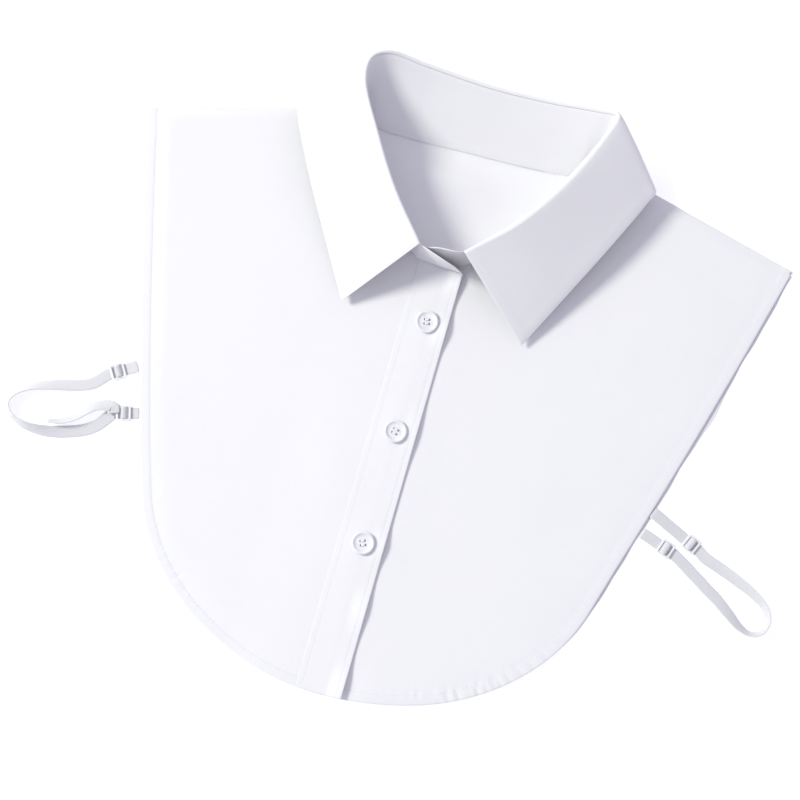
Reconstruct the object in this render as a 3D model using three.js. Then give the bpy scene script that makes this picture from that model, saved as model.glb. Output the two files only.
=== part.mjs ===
// A detachable shirt collar with a bib front, lying flat on its back panel.
// Millimetres. X runs to the right across the shoulders, Y from the hem to the collar, Z up.
// The garment is drawn from the centre front of the neck, and moved to the middle of its box
// at the end. "h" is a distance from the centre line, on either side.
import * as THREE from "three";

// ---- cloth ----
const pieceGap = 0.3;
const panelThickness = 1.2;
const placketThickness = 1.0;
const collarThickness = 1.6;
const bandThickness = 1.0;

// ---- bib outline, one half ----
const shoulderTip = { h: 191, y: 45 };
const tipBlunt = 0.6;
const shoulderRise = Math.tan(THREE.MathUtils.degToRad(15.3));
const hem = { halfWidth: 134, height: 110, centreY: -143, joinH: 130 };
const sideBow = 1.8;
const skew = { across: 0.02, up: 0.0155, fadeFrom: 70, fadeTo: 104 };

// ---- neckline ----
const neck = { halfWidth: 70, shoulderY: 78, frontY: -1.2, sideY: 40, flatH: 31 };
const backNeck = { y: 65.3, flatHalf: 50, power: 2 };
const neckInset = 1.2;

// ---- front closing ----
const lap = { overEdge: 11.8, underEdge: 12, riseFrom: 26, riseTo: 16, drop: 2.6 };
const placket = { overEdge: 11.8, innerEdge: 14.2 };
const closingLean = { slope: 0.016, fadeFrom: 15, fadeTo: 70 };
const buttons = { radius: 6.5, thickness: 2.2, bevel: 0.5, holeRadius: 0.8, holeSpread: 1.7,
  x: -0.1, firstY: -36.4, pitch: 65.1, names: ["top", "middle", "bottom"] };

// ---- heights of the layers ----
const level = { back: 0, front: panelThickness + pieceGap };
level.over = level.front + panelThickness + pieceGap;
level.placket = level.over + panelThickness + pieceGap;
level.button = level.placket + placketThickness + pieceGap;

// ---- collar, from the centre back to the centre front ----
// seam: where the stand meets the neckline. fold: the crest of the collar, with its height.
// edge: the outer edge of the leaf. foldShift and edgeShift move a row sideways on both sides
// alike, because the collar leans a little. belly bows the leaf out, flat lays it on the table.
const collarColumns = ["seamX", "seamY", "foldX", "foldY", "foldZ", "foldShift",
  "edgeX", "edgeY", "edgeZ", "edgeShift", "belly", "flat", "steps"];
const collarRows = [
  /* centre back */ [0, 64.5, 0, 98.8, 26.0, 0, 0, 73.0, 1.0, 0, 5, 1, 4],
  /* back        */ [36, 64.6, 38, 100.2, 27.0, 0, 42, 75.5, 1.0, 0, 5, 1, 3],
  /* back corner */ [59, 66.6, 62, 102.6, 29.5, 1, 78, 80.5, 3.2, 1, 3, 0.8, 4],
  /* corner      */ [69, 74.0, 71.5, 98.5, 31.0, 1, 104.5, 67.5, 14.0, 1, 4, 0, 4],
  /* neck side   */ [69, 66.0, 69.0, 86.0, 32.0, 0, 101.5, 59.0, 14.6, 1, 2, 0, 4],
  /* side        */ [60.5, 47.0, 54.0, 56.0, 33.5, -1.8, 88.8, 31.5, 11.0, 0.5, 0, 0, 4],
  /* front side  */ [43, 22.0, 35.5, 27.5, 32.5, -2.4, 69, -6.0, 7.0, 1.5, 0, 0, 3],
  /* leaf front  */ [16, 1.0, 15, 0.8, 30.0, -1, 53.4, -36.3, 4.2, 3.4, 0, 0, 0],
].map((row) => Object.fromEntries(collarColumns.map((name, i) => [name, row[i]])));
const collarTwist = 0.022;
const foldRadius = 1.6;
const foldLead = 1.0;
const foldGap = 0.7;
const leafDrop = 9;
const leafRunIn = 0.42;

// ---- overlapping ends of the stand, from the leaf to the end ----
const endColumns = ["h", "seamY", "topY", "topZ"];
const overEnd = [
  [0, -3.6, -5.0, 29.0],
  [-7, -3.9, -6.6, 28.0],
  [-11.4, -4.1, -7.6, 22.0],
].map((row) => Object.fromEntries(endColumns.map((name, i) => [name, row[i]])));
const underEnd = [
  [4, 0.3, 0.9, 29.5],
  [-4, 0.3, 0.6, 28.5],
  [-11.4, 0.3, 0.4, 22.0],
].map((row) => Object.fromEntries(endColumns.map((name, i) => [name, row[i]])));

// ---- side straps ----
// Each runs from one slide to another, or to the point where it is sewn down. Its rows are places
// on the table, with the lean of the band from flat to on edge in degrees, and any lift.
const strapWidth = 6.8;
const slide = { width: 9.4, length: 8.4, thickness: 1.4, bar: 1.3, corner: 1.4 };
const strapLead = 2.5;
const strapColumns = ["x", "y", "lean", "lift"];
const straps = [
  { name: "strap_right", from: "right_front", to: "right_back", lift: 0, rows: [
    [192.4, -129.0, 8, 0], [199.9, -131.6, 20, 0], [210.0, -135.3, 38, 0],
    [218.7, -139.3, 55, 0], [225.6, -144.2, 68, 0], [228.6, -150.2, 76, 0],
    [226.6, -156.2, 74, 0], [220.8, -158.9, 62, 0], [213.9, -156.7, 42, 0],
    [206.5, -151.2, 20, 0], [199.4, -145.7, 8, 0], [189.7, -139.6, 0, 0],
    [178.4, -132.4, 0, 0],
  ] },
  { name: "strap_left", from: "left_front", to: "left_back", lift: 0, rows: [
    [-179.4, -122.0, 10, 0], [-188.0, -124.8, 20, 0], [-196.6, -127.1, 34, 0],
    [-204.9, -130.6, 50, 0], [-211.6, -135.4, 66, 0], [-215.0, -141.5, 76, 0],
    [-212.4, -148.2, 74, 0], [-205.0, -151.9, 62, 0], [-196.7, -152.4, 42, 0],
    [-189.4, -151.5, 22, 0], [-181.0, -149.2, 8, 0], [-172.4, -146.2, 2, 0],
    [-165.6, -141.6, 0, 0],
  ] },
  { name: "strap_left_tail", from: "left_back", lift: 1.8, rows: [
    [-164.0, -132.4, 26, 1.2], [-168.6, -133.6, 50, 0.5], [-173.6, -137.4, 46, 0.6],
    [-178.0, -143.0, 24, 1.8], [-182.4, -146.8, 12, 2.4], [-186.0, -148.8, 14, 2.9],
  ] },
];
// one slide near each strap end, and the height of the hem that its tab is sewn into
const tabColumns = ["name", "side", "hemY", "slideX", "slideY", "hemLevel"];
const tabs = [
  ["left_front", -1, -102.2, -164.6, -112.0, level.front],
  ["left_back", -1, -128.6, -154.6, -133.6, level.back],
  ["right_front", 1, -107.4, 179.0, -119.6, level.front],
  ["right_back", 1, -119.6, 164.0, -125.4, level.back],
].map((row) => Object.fromEntries(tabColumns.map((name, i) => [name, row[i]])));
const hemProbe = 2;

const material = (color, roughness, metalness = 0) =>
  new THREE.MeshStandardMaterial({ color, roughness, metalness });
const poplin = () => material(0xf3f3f8, 0.85);
const elastic = () => material(0xf0f0f4, 0.75);
const pearlPlastic = () => material(0xf4f3f2, 0.3);

// ---- outline functions ----
const fade = THREE.MathUtils.smoothstep;

// The place between two limits up to which a test holds.
function lastPlace(from, to, holds) {
  let near = from;
  let far = to;
  while (Math.abs(far - near) > 0.001) {
    const middle = (near + far) / 2;
    if (holds(middle)) near = middle;
    else far = middle;
  }
  return near;
}

// Point of the front neckline at t = 0 (shoulder) to 1 (centre front), moved in towards the neck.
function frontNeck(t, inset, drop = 0) {
  const curve = new THREE.CubicBezierCurve(
    new THREE.Vector2(neck.halfWidth, neck.shoulderY),
    new THREE.Vector2(neck.halfWidth - 4, neck.sideY),
    new THREE.Vector2(neck.flatH, neck.frontY - drop),
    new THREE.Vector2(0, neck.frontY - drop),
  );
  const along = curve.getTangent(t);
  const point = curve.getPoint(t);
  return new THREE.Vector2(point.x + inset * along.y, point.y - inset * along.x);
}

function backNeckY(h) {
  if (h <= backNeck.flatHalf) return backNeck.y;
  const share = (h - backNeck.flatHalf) / (neck.halfWidth - backNeck.flatHalf);
  return backNeck.y + (neck.shoulderY - backNeck.y) * share ** backNeck.power;
}

const shoulderY = (h) => shoulderTip.y + (shoulderTip.h - h) * shoulderRise;

// Lower edge of the bib: a round hem, then the straight side with a slight bow.
function hemY(h) {
  if (h <= hem.joinH) return hem.centreY - hem.height * Math.sqrt(1 - (h / hem.halfWidth) ** 2);
  const share = (h - hem.joinH) / (shoulderTip.h - hem.joinH);
  const joinY = hemY(hem.joinH);
  const chord = joinY + (shoulderTip.y - joinY) * share;
  const rise = (shoulderTip.y - joinY) / (shoulderTip.h - hem.joinH);
  return chord - sideBow * rise * 4 * share * (1 - share);
}

// Half width of the bib at a height on its straight side.
const sideH = (y) => lastPlace(hem.joinH, shoulderTip.h, (h) => hemY(h) < y);

// Height of the front neckline at a half width.
function neckY(h, drop) {
  const t = lastPlace(1, 0, (share) => frontNeck(share, neckInset, drop).x < h);
  return frontNeck(t, neckInset, drop).y;
}

// Half widths of the columns between two limits, closer together where the outline bends.
const bodyColumns = [78, 90, 100, 108, 115, 120, 124, 127, 130, 140, 152, 165, 178,
  shoulderTip.h - tipBlunt];
const neckShares = [0, 0.08, 0.17, 0.27, 0.38, 0.5, 0.62, 0.74, 0.86, 0.94];
const panelSteps = 4;

// The front closing leans by a hair, and the lean fades out towards the side.
const leanAt = (h, y) => y * closingLean.slope
  * (1 - fade(Math.abs(h), closingLean.fadeFrom, closingLean.fadeTo));

// The bib lies a little askew: the upper part of each side is drawn to the right, and the right
// shoulder up. The neckline and the closing stay where they are.
function skewed(x, y) {
  const reach = fade(Math.abs(x), skew.fadeFrom, skew.fadeTo);
  const height = Math.max(0, y - hem.centreY) * reach;
  const share = height / (shoulderTip.y - hem.centreY);
  return new THREE.Vector2(x + height * skew.across, y + x * share * skew.up);
}

// ---- solids from grids ----
// Closed wall about a grid of middle points: rows of equal length, given a thickness.
function wall(rows, thickness) {
  const count = rows[0].length;
  const last = rows.length - 1;
  const normalAt = (r, c) => {
    const along = rows[Math.min(r + 1, last)][c].clone().sub(rows[Math.max(r - 1, 0)][c]);
    const across = rows[r][Math.min(c + 1, count - 1)].clone().sub(rows[r][Math.max(c - 1, 0)]);
    return along.cross(across).normalize();
  };
  const positions = [];
  for (const side of [0.5, -0.5]) {
    rows.forEach((row, r) => row.forEach((point, c) => {
      const moved = point.clone().addScaledVector(normalAt(r, c), side * thickness);
      positions.push(moved.x, moved.y, moved.z);
    }));
  }
  const far = rows.length * count;
  const faces = [];
  const quad = (a, b, c, d) => faces.push(a, b, c, a, c, d);
  for (let r = 0; r < last; r += 1) {
    for (let c = 0; c < count - 1; c += 1) {
      const a = r * count + c;
      quad(a, a + count, a + count + 1, a + 1);
      quad(far + a, far + a + 1, far + a + count + 1, far + a + count);
    }
  }
  const rim = [];
  for (let c = 0; c < count; c += 1) rim.push(c);
  for (let r = 1; r <= last; r += 1) rim.push(r * count + count - 1);
  for (let c = count - 2; c >= 0; c -= 1) rim.push(last * count + c);
  for (let r = last - 1; r > 0; r -= 1) rim.push(r * count);
  rim.forEach((a, i) => {
    const b = rim[(i + 1) % rim.length];
    quad(a, b, far + b, far + a);
  });
  return closedGeometry(positions, faces);
}

// Geometry whose faces point out, whichever way round its grid ran.
function closedGeometry(positions, faces) {
  const corner = (i) => new THREE.Vector3().fromArray(positions, i * 3);
  let volume = 0;
  for (let i = 0; i < faces.length; i += 3) {
    volume += corner(faces[i]).dot(corner(faces[i + 1]).cross(corner(faces[i + 2])));
  }
  const ordered = volume > 0 ? faces : faces.slice().reverse();
  const geometry = new THREE.BufferGeometry();
  geometry.setAttribute("position", new THREE.Float32BufferAttribute(positions, 3));
  geometry.setIndex(ordered);
  geometry.computeVertexNormals();
  return geometry;
}

// Flat or stepped panel: a column for each half width, from its upper edge down to the hem.
function panelRows(columns, side, heightAt) {
  return columns.map(({ h, top }) => {
    const row = [];
    for (let step = 0; step <= panelSteps; step += 1) {
      const share = step / panelSteps;
      const bottom = hemY(Math.abs(h));
      const y = top + (bottom - top) * share;
      const place = skewed(side * h + leanAt(h, y), y);
      row.push(new THREE.Vector3(place.x, place.y, heightAt(h)));
    }
    return row;
  });
}

const bodyColumnsWithTops = () => bodyColumns.map((h) => ({ h, top: shoulderY(h) }));

function frontColumns(edge, drop) {
  const nearShoulder = neckShares.map((t) => frontNeck(t, neckInset, drop));
  const columns = nearShoulder.map((point) => ({ h: point.x, top: point.y })).reverse();
  const flatTop = frontNeck(1, neckInset, drop).y;
  const centre = [-edge, -edge / 2, 0].map((h) => ({ h, top: flatTop }));
  return [...centre, ...columns, ...bodyColumnsWithTops()];
}

function backPanel() {
  const neckColumns = [0, 12, 25, 38, 50, 55, 60, 64, 67, neck.halfWidth - neckInset]
    .map((h) => ({ h, top: backNeckY(h) }));
  const half = [...neckColumns, ...bodyColumnsWithTops()];
  const mirrored = half.slice(1).reverse().map(({ h, top }) => ({ h: -h, top }));
  return wall(panelRows([...mirrored, ...half], 1, () => level.back + panelThickness / 2),
    panelThickness);
}

// Height of the underside of the left front, which climbs onto the right front at the lap.
const lapHeight = (h) => level.front
  + (level.over - level.front) * (1 - fade(h, lap.riseTo, lap.riseFrom));

function frontPanel(side) {
  const over = side < 0;
  const columns = frontColumns(over ? lap.overEdge : lap.underEdge, over ? lap.drop : 0);
  const underside = over ? lapHeight : () => level.front;
  return wall(panelRows(columns, side, (h) => underside(h) + panelThickness / 2), panelThickness);
}

function placketBand() {
  const { overEdge, innerEdge } = placket;
  const columns = [-overEdge, -overEdge / 2, 0, innerEdge / 2, innerEdge]
    .map((h) => ({ h, top: neckY(h, lap.drop) }));
  return wall(panelRows(columns, -1, () => level.placket + placketThickness / 2),
    placketThickness);
}

// ---- collar ----
const twisted = (point) => new THREE.Vector3(point.x, point.y + point.x * collarTwist, point.z);

// Top of whatever the stand is sewn onto.
function seatHeight(side, h, onBack) {
  if (onBack) return panelThickness;
  if (side > 0) return level.front + panelThickness;
  const onPlacket = h < placket.innerEdge + 2;
  return onPlacket ? level.button - pieceGap : lapHeight(h) + panelThickness;
}

// Named points of one collar section: foot and head of the stand, then the leaf's curve.
function collarSection(row, side, seatTop, drop) {
  const seam = new THREE.Vector3(side * row.seamX, row.seamY - drop, seatTop + pieceGap);
  const fold = new THREE.Vector3(side * row.foldX + row.foldShift, row.foldY, row.foldZ);
  const edge = new THREE.Vector3(side * row.edgeX + row.edgeShift, row.edgeY, row.edgeZ);
  return { seam: twisted(seam), fold: twisted(fold), edge: twisted(edge),
    belly: row.belly, flat: row.flat, steps: row.steps };
}

// Control sections round the collar, from the left leaf front to the right one.
function collarSections() {
  const half = (side) => collarRows.map((row, i) => {
    const onBack = i < 3;
    const drop = side < 0 && i === collarRows.length - 1 ? lap.drop : 0;
    return collarSection(row, side, seatHeight(side, row.seamX, onBack), drop);
  });
  const right = half(1);
  const left = half(-1).slice(1).reverse();
  left.forEach((section, i) => { section.steps = collarRows[collarRows.length - 2 - i].steps; });
  return [...left, ...right];
}

// Smooth curve through one named point of every section, with each section's share of steps.
function sampledSections(sections) {
  const curveOf = (name) => new THREE.CatmullRomCurve3(sections.map((s) => s[name]), false,
    "centripetal");
  const curves = { seam: curveOf("seam"), fold: curveOf("fold"), edge: curveOf("edge") };
  const samples = [];
  const last = sections.length - 1;
  for (let i = 0; i <= last; i += 1) {
    const steps = i < last ? sections[i].steps : 1;
    const next = sections[Math.min(i + 1, last)];
    for (let step = 0; step < steps; step += 1) {
      const share = step / steps;
      const t = (i + share) / last;
      const smooth = THREE.MathUtils.smoothstep(share, 0, 1);
      samples.push({
        seam: curves.seam.getPoint(t),
        fold: curves.fold.getPoint(t),
        edge: curves.edge.getPoint(t),
        belly: THREE.MathUtils.lerp(sections[i].belly, next.belly, smooth),
        flat: THREE.MathUtils.lerp(sections[i].flat, next.flat, smooth),
      });
    }
  }
  return samples;
}

// Up the stand and out from it, at each sample.
function withDirections(samples) {
  const last = samples.length - 1;
  return samples.map((sample, i) => {
    const along = samples[Math.min(i + 1, last)].fold.clone()
      .sub(samples[Math.max(i - 1, 0)].fold).normalize();
    const up = sample.fold.clone().sub(sample.seam).normalize();
    const out = up.clone().cross(along).normalize();
    return { ...sample, up, out };
  });
}

const seatLift = (up) => (collarThickness / 2) * Math.sqrt(1 - up.z ** 2);

// Head of the stand: just under the roll of the leaf, on its inner side.
const standHead = ({ fold, up, out }) => fold.clone()
  .addScaledVector(up, -(foldRadius + collarThickness / 2 + foldLead + foldGap))
  .addScaledVector(out, -foldRadius);

function standColumn(sample, steps = 3) {
  const foot = sample.seam.clone();
  foot.z += seatLift(sample.up);
  const head = standHead(sample);
  const column = [];
  for (let step = 0; step <= steps; step += 1) column.push(foot.clone().lerp(head, step / steps));
  return column;
}

// Leaf section: over the roll, then down and out to the edge.
function leafColumn(sample) {
  const { fold, up, out, edge, belly, flat } = sample;
  const centre = fold.clone().addScaledVector(up, -(foldRadius + collarThickness / 2));
  const column = [centre.clone().addScaledVector(out, -foldRadius).addScaledVector(up, -foldLead)];
  for (const degrees of [180, 135, 90, 45, 0]) {
    const angle = THREE.MathUtils.degToRad(degrees);
    column.push(centre.clone()
      .addScaledVector(out, foldRadius * Math.cos(angle))
      .addScaledVector(up, foldRadius * Math.sin(angle)));
  }
  const start = column[column.length - 1];
  const shoulder = start.clone().addScaledVector(up, -leafDrop).addScaledVector(out, belly);
  const runIn = edge.clone().lerp(shoulder, leafRunIn);
  runIn.z = THREE.MathUtils.lerp(runIn.z, edge.z, flat);
  const fall = new THREE.CubicBezierCurve3(start, shoulder, runIn, edge);
  for (const t of [0.2, 0.42, 0.65, 0.85, 1]) column.push(fall.getPoint(t));
  return column;
}

// A free end of the stand, past the leaf: straight up from its seat, rounded at the top.
function freeEnd(rows, side, seatTop, steps = 3) {
  return rows.map(({ h, seamY, topY, topZ }) => {
    const foot = new THREE.Vector3(side * h, seamY, seatTop + pieceGap);
    const head = new THREE.Vector3(side * h, topY, topZ);
    const up = head.clone().sub(foot).normalize();
    foot.z += seatLift(up);
    const column = [];
    for (let step = 0; step <= steps; step += 1) column.push(foot.clone().lerp(head, step / steps));
    return column;
  });
}

function collarStand(samples) {
  const overTop = level.button - pieceGap;
  const underTop = level.front + panelThickness;
  const left = freeEnd(overEnd, -1, overTop).reverse();
  const right = freeEnd(underEnd, 1, underTop);
  return wall([...left, ...samples.map((s) => standColumn(s)), ...right], collarThickness);
}

const collarLeaf = (samples) => wall(samples.map(leafColumn), collarThickness);

// ---- buttons ----
function button() {
  const disc = new THREE.Shape().absarc(0, 0, buttons.radius - buttons.bevel, 0, 2 * Math.PI);
  for (const quarter of [0.25, 0.75, 1.25, 1.75]) {
    const angle = quarter * Math.PI;
    const hole = new THREE.Path().absarc(buttons.holeSpread * Math.cos(angle),
      buttons.holeSpread * Math.sin(angle), buttons.holeRadius, 0, 2 * Math.PI, true);
    disc.holes.push(hole);
  }
  const geometry = new THREE.ExtrudeGeometry(disc, {
    depth: buttons.thickness - 2 * buttons.bevel,
    bevelSize: buttons.bevel,
    bevelThickness: buttons.bevel,
    bevelSegments: 1,
    curveSegments: 12,
  });
  return geometry.translate(0, 0, buttons.bevel);
}

// ---- straps and their slides ----
// Elastic band along a path. It lies flat where lean is 0 and stands on its edge at 90.
function band(points, width, samples) {
  const curve = new THREE.CatmullRomCurve3(
    points.map(({ x, y }) => new THREE.Vector3(x, y, 0)), false, "centripetal");
  const blend = (name, t) => {
    const place = t * (points.length - 1);
    const i = Math.min(Math.floor(place), points.length - 2);
    return THREE.MathUtils.lerp(points[i][name], points[i + 1][name], place - i);
  };
  const rows = [];
  for (let i = 0; i <= samples; i += 1) {
    const t = i / samples;
    const centre = curve.getPoint(t);
    const along = curve.getTangent(t);
    const lean = THREE.MathUtils.degToRad(blend("lean", t));
    const side = new THREE.Vector3(-along.y, along.x, 0).multiplyScalar(Math.cos(lean));
    side.z = Math.sin(lean);
    const clearance = (width / 2) * Math.sin(lean) + (bandThickness / 2) * Math.cos(lean);
    centre.z = clearance + blend("lift", t);
    rows.push([-0.5, 0, 0.5].map((share) => centre.clone().addScaledVector(side, share * width)));
  }
  return wall(rows, bandThickness);
}

// The two points that lead a strap straight out of a slide.
function slideExit(name, lift) {
  const tab = tabs.find((entry) => entry.name === name);
  const direction = tabLine(tab).run.normalize();
  return [0, strapLead].map((lead) => {
    const reach = slide.length / 2 + pieceGap + lead;
    return { x: tab.slideX + direction.x * reach, y: tab.slideY + direction.y * reach,
      lean: 0, lift };
  });
}

function strapBand(strap) {
  const points = strap.rows.map((row) => Object.fromEntries(
    strapColumns.map((name, i) => [name, row[i]])));
  const start = slideExit(strap.from, strap.lift);
  const end = strap.to ? slideExit(strap.to, strap.lift).reverse() : [];
  return band([...start, ...points, ...end], strapWidth, points.length * 3);
}

// Flat plastic frame with a middle bar, its length along X.
function slideFrame() {
  const { width, length, thickness, bar, corner } = slide;
  const box = (shape, x0, y0, x1, y1, r) => shape
    .moveTo(x0 + r, y0)
    .lineTo(x1 - r, y0)
    .absarc(x1 - r, y0 + r, r, -Math.PI / 2, 0)
    .lineTo(x1, y1 - r)
    .absarc(x1 - r, y1 - r, r, 0, Math.PI / 2)
    .lineTo(x0 + r, y1)
    .absarc(x0 + r, y1 - r, r, Math.PI / 2, Math.PI)
    .lineTo(x0, y0 + r)
    .absarc(x0 + r, y0 + r, r, Math.PI, 1.5 * Math.PI);
  const frame = new THREE.Shape();
  box(frame, -length / 2, -width / 2, length / 2, width / 2, corner);
  const slotHalf = width / 2 - bar;
  for (const side of [-1, 1]) {
    const near = side * bar / 2;
    const far = side * (length / 2 - bar);
    const slot = new THREE.Path();
    box(slot, Math.min(near, far), -slotHalf, Math.max(near, far), slotHalf, bar / 4);
    frame.holes.push(slot);
  }
  return new THREE.ExtrudeGeometry(frame, { depth: thickness, bevelEnabled: false,
    curveSegments: 3 });
}

// From the tab's seat, just clear of the hem, to the middle of its slide.
function tabLine(tab) {
  const hemPoint = (y) => skewed(tab.side * sideH(y), y);
  const start = hemPoint(tab.hemY);
  const edge = hemPoint(tab.hemY + hemProbe).sub(hemPoint(tab.hemY - hemProbe)).normalize();
  const heading = new THREE.Vector2(tab.slideX, tab.slideY).sub(start).normalize();
  const slant = Math.abs(heading.cross(edge));
  const clear = (pieceGap + strapWidth / 2 * Math.abs(heading.dot(edge))) / slant;
  start.addScaledVector(heading, clear);
  return { start, run: new THREE.Vector2(tab.slideX, tab.slideY).sub(start) };
}

const tabAngle = (tab) => tabLine(tab).run.angle();

function tabBand(tab) {
  const { start, run } = tabLine(tab);
  const reach = 1 - (slide.length / 2 + pieceGap) / run.length();
  const at = (share, lift) => {
    const point = start.clone().addScaledVector(run, reach * share);
    return { x: point.x, y: point.y, lean: 0, lift };
  };
  return band([at(0, tab.hemLevel), at(0.5, tab.hemLevel / 2), at(1, 0)], strapWidth, 4);
}

// ---- the garment ----
function build() {
  const garment = new THREE.Group();
  const add = (name, geometry, finish, place = [0, 0, 0], turn = 0) => {
    const mesh = new THREE.Mesh(geometry, finish);
    mesh.name = name;
    mesh.position.set(...place);
    mesh.rotation.z = turn;
    garment.add(mesh);
  };
  const samples = withDirections(sampledSections(collarSections()));
  add("back_panel", backPanel(), poplin());
  add("front_right", frontPanel(1), poplin());
  add("front_left", frontPanel(-1), poplin());
  add("placket", placketBand(), poplin());
  add("collar_stand", collarStand(samples), poplin());
  add("collar_leaf", collarLeaf(samples), poplin());
  buttons.names.forEach((name, i) => {
    const y = buttons.firstY - i * buttons.pitch;
    const x = buttons.x + leanAt(0, y);
    add(`button_${name}`, button(), pearlPlastic(), [x, y, level.button]);
  });
  for (const tab of tabs) {
    add(`tab_${tab.name}`, tabBand(tab), elastic());
    add(`slide_${tab.name}`, slideFrame(), pearlPlastic(), [tab.slideX, tab.slideY, 0],
      tabAngle(tab));
  }
  for (const strap of straps) add(strap.name, strapBand(strap), elastic());
  const box = new THREE.Box3().setFromObject(garment);
  garment.position.set(-(box.min.x + box.max.x) / 2, -(box.min.y + box.max.y) / 2, -box.min.z);
  return garment;
}

export default build();
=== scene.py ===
import math
import bmesh
import bpy
import numpy as np
from mathutils import Matrix, Vector


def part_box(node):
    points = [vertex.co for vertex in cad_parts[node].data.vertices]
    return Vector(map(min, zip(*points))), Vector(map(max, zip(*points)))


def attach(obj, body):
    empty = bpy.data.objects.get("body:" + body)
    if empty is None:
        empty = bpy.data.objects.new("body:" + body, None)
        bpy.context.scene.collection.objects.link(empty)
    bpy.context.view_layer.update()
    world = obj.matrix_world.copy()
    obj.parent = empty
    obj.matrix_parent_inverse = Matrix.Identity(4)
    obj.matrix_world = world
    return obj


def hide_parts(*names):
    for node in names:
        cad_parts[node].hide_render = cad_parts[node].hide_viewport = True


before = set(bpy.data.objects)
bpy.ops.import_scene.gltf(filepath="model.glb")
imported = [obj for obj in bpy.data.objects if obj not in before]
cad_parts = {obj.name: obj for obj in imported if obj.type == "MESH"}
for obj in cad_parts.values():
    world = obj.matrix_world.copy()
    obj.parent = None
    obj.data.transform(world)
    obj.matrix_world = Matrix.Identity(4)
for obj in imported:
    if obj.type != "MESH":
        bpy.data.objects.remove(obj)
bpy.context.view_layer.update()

scene = bpy.context.scene

# Everything is drawn in millimetres from the centre front of the neck: x to the right, y towards
# the collar, z up. h is a distance from the centre line. placeShift moves it into the frame.
closing = {"lean": 0.016, "fadeFrom": 15.0, "fadeTo": 70.0, "overEdge": 11.8, "underEdge": 12.0,
           "innerEdge": 14.2, "lapDrop": 2.6, "buttonX": -0.1, "firstButtonY": -36.4,
           "buttonPitch": 65.1}
buttonLow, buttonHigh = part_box("button_top")
placeShift = np.array([
    500 * (buttonLow[0] + buttonHigh[0]) - closing["buttonX"]
    - closing["firstButtonY"] * closing["lean"],
    500 * (buttonLow[1] + buttonHigh[1]) - closing["firstButtonY"],
    0.0])


def buttonY(i):  # 0 is the top button
    return closing["firstButtonY"] - i * closing["buttonPitch"]


def inFrame(points):
    return (np.asarray(points, dtype=float) + placeShift) / 1000


def rise(value, start, end):  # smooth step from 0 to 1
    t = np.clip((np.asarray(value, dtype=float) - start) / (end - start), 0, 1)
    return t * t * (3 - 2 * t)


def hump(value, centre, width):
    return np.exp(-((np.asarray(value, dtype=float) - centre) / width) ** 2)


def unit(vectors):
    return vectors / np.maximum(np.linalg.norm(vectors, axis=-1, keepdims=True), 1e-9)


def dot(first, second):
    return np.sum(first * second, axis=-1, keepdims=True)


def alongPath(points):  # each point's distance from the first one
    return np.concatenate([[0], np.cumsum(np.linalg.norm(np.diff(points, axis=0), axis=1))])


def table(columns, rows):  # one dictionary for each row
    return [dict(zip(columns, row)) for row in rows]


def linked(name, data):
    made = bpy.data.objects.new(name, data)
    scene.collection.objects.link(made)
    return made


def fromForm(name, form):  # an object from a bmesh
    mesh = bpy.data.meshes.new(name)
    form.to_mesh(mesh)
    form.free()
    return linked(name, mesh)


# The garment is one body. A piece rides on it, and hides the plain solid that it stands for.
def joinFrame(piece, node=None):
    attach(piece, "root")
    if node:
        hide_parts(node)


# The camera looks down on the table and is turned a little.
view = {"lens": 86.0, "distance": 1080.0, "tilt": 8.0, "roll": 15.2,
        "target": (-3.735, -82.889, 0.0)}


def imageAxes():
    tilt, roll = math.radians(view["tilt"]), math.radians(view["roll"])
    forward = Vector((0, math.sin(tilt), -math.cos(tilt)))
    upright = Vector((0, math.cos(tilt), math.sin(tilt)))
    sideways = Vector((1, 0, 0))
    right = sideways * math.cos(roll) + upright * math.sin(roll)
    up = upright * math.cos(roll) - sideways * math.sin(roll)
    return right, up, forward


def makeCamera():
    right, up, forward = imageAxes()
    target = Vector(inFrame(view["target"]))
    camera = linked("camera", bpy.data.cameras.new("camera"))
    camera.data.lens = view["lens"]
    camera.data.clip_start = 0.01
    place = Matrix.Translation(target - forward * view["distance"] / 1000)
    camera.matrix_world = place @ Matrix((right, up, -forward)).transposed().to_4x4()
    scene.camera = camera


makeCamera()
print("camera placed")


class Wire:  # an output socket that takes part in sums
    def __init__(self, paint, socket):
        self.paint = paint
        self.socket = socket

    def calc(self, operation, *others):
        return self.paint.node("ShaderNodeMath", {"operation": operation}, [self, *others])

    def __add__(self, other):
        return self.calc("ADD", other)

    def __sub__(self, other):
        return self.calc("SUBTRACT", other)

    def __rsub__(self, other):
        return self.paint.node("ShaderNodeMath", {"operation": "SUBTRACT"}, [other, self])

    def __mul__(self, other):
        return self.calc("MULTIPLY", other)

    __radd__ = __add__
    __rmul__ = __mul__

    def clamped(self):
        return self.calc("MAXIMUM", 0.0).calc("MINIMUM", 1.0)

    def second(self):  # the second output of the same node
        return Wire(self.paint, self.socket.node.outputs[1])


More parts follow.
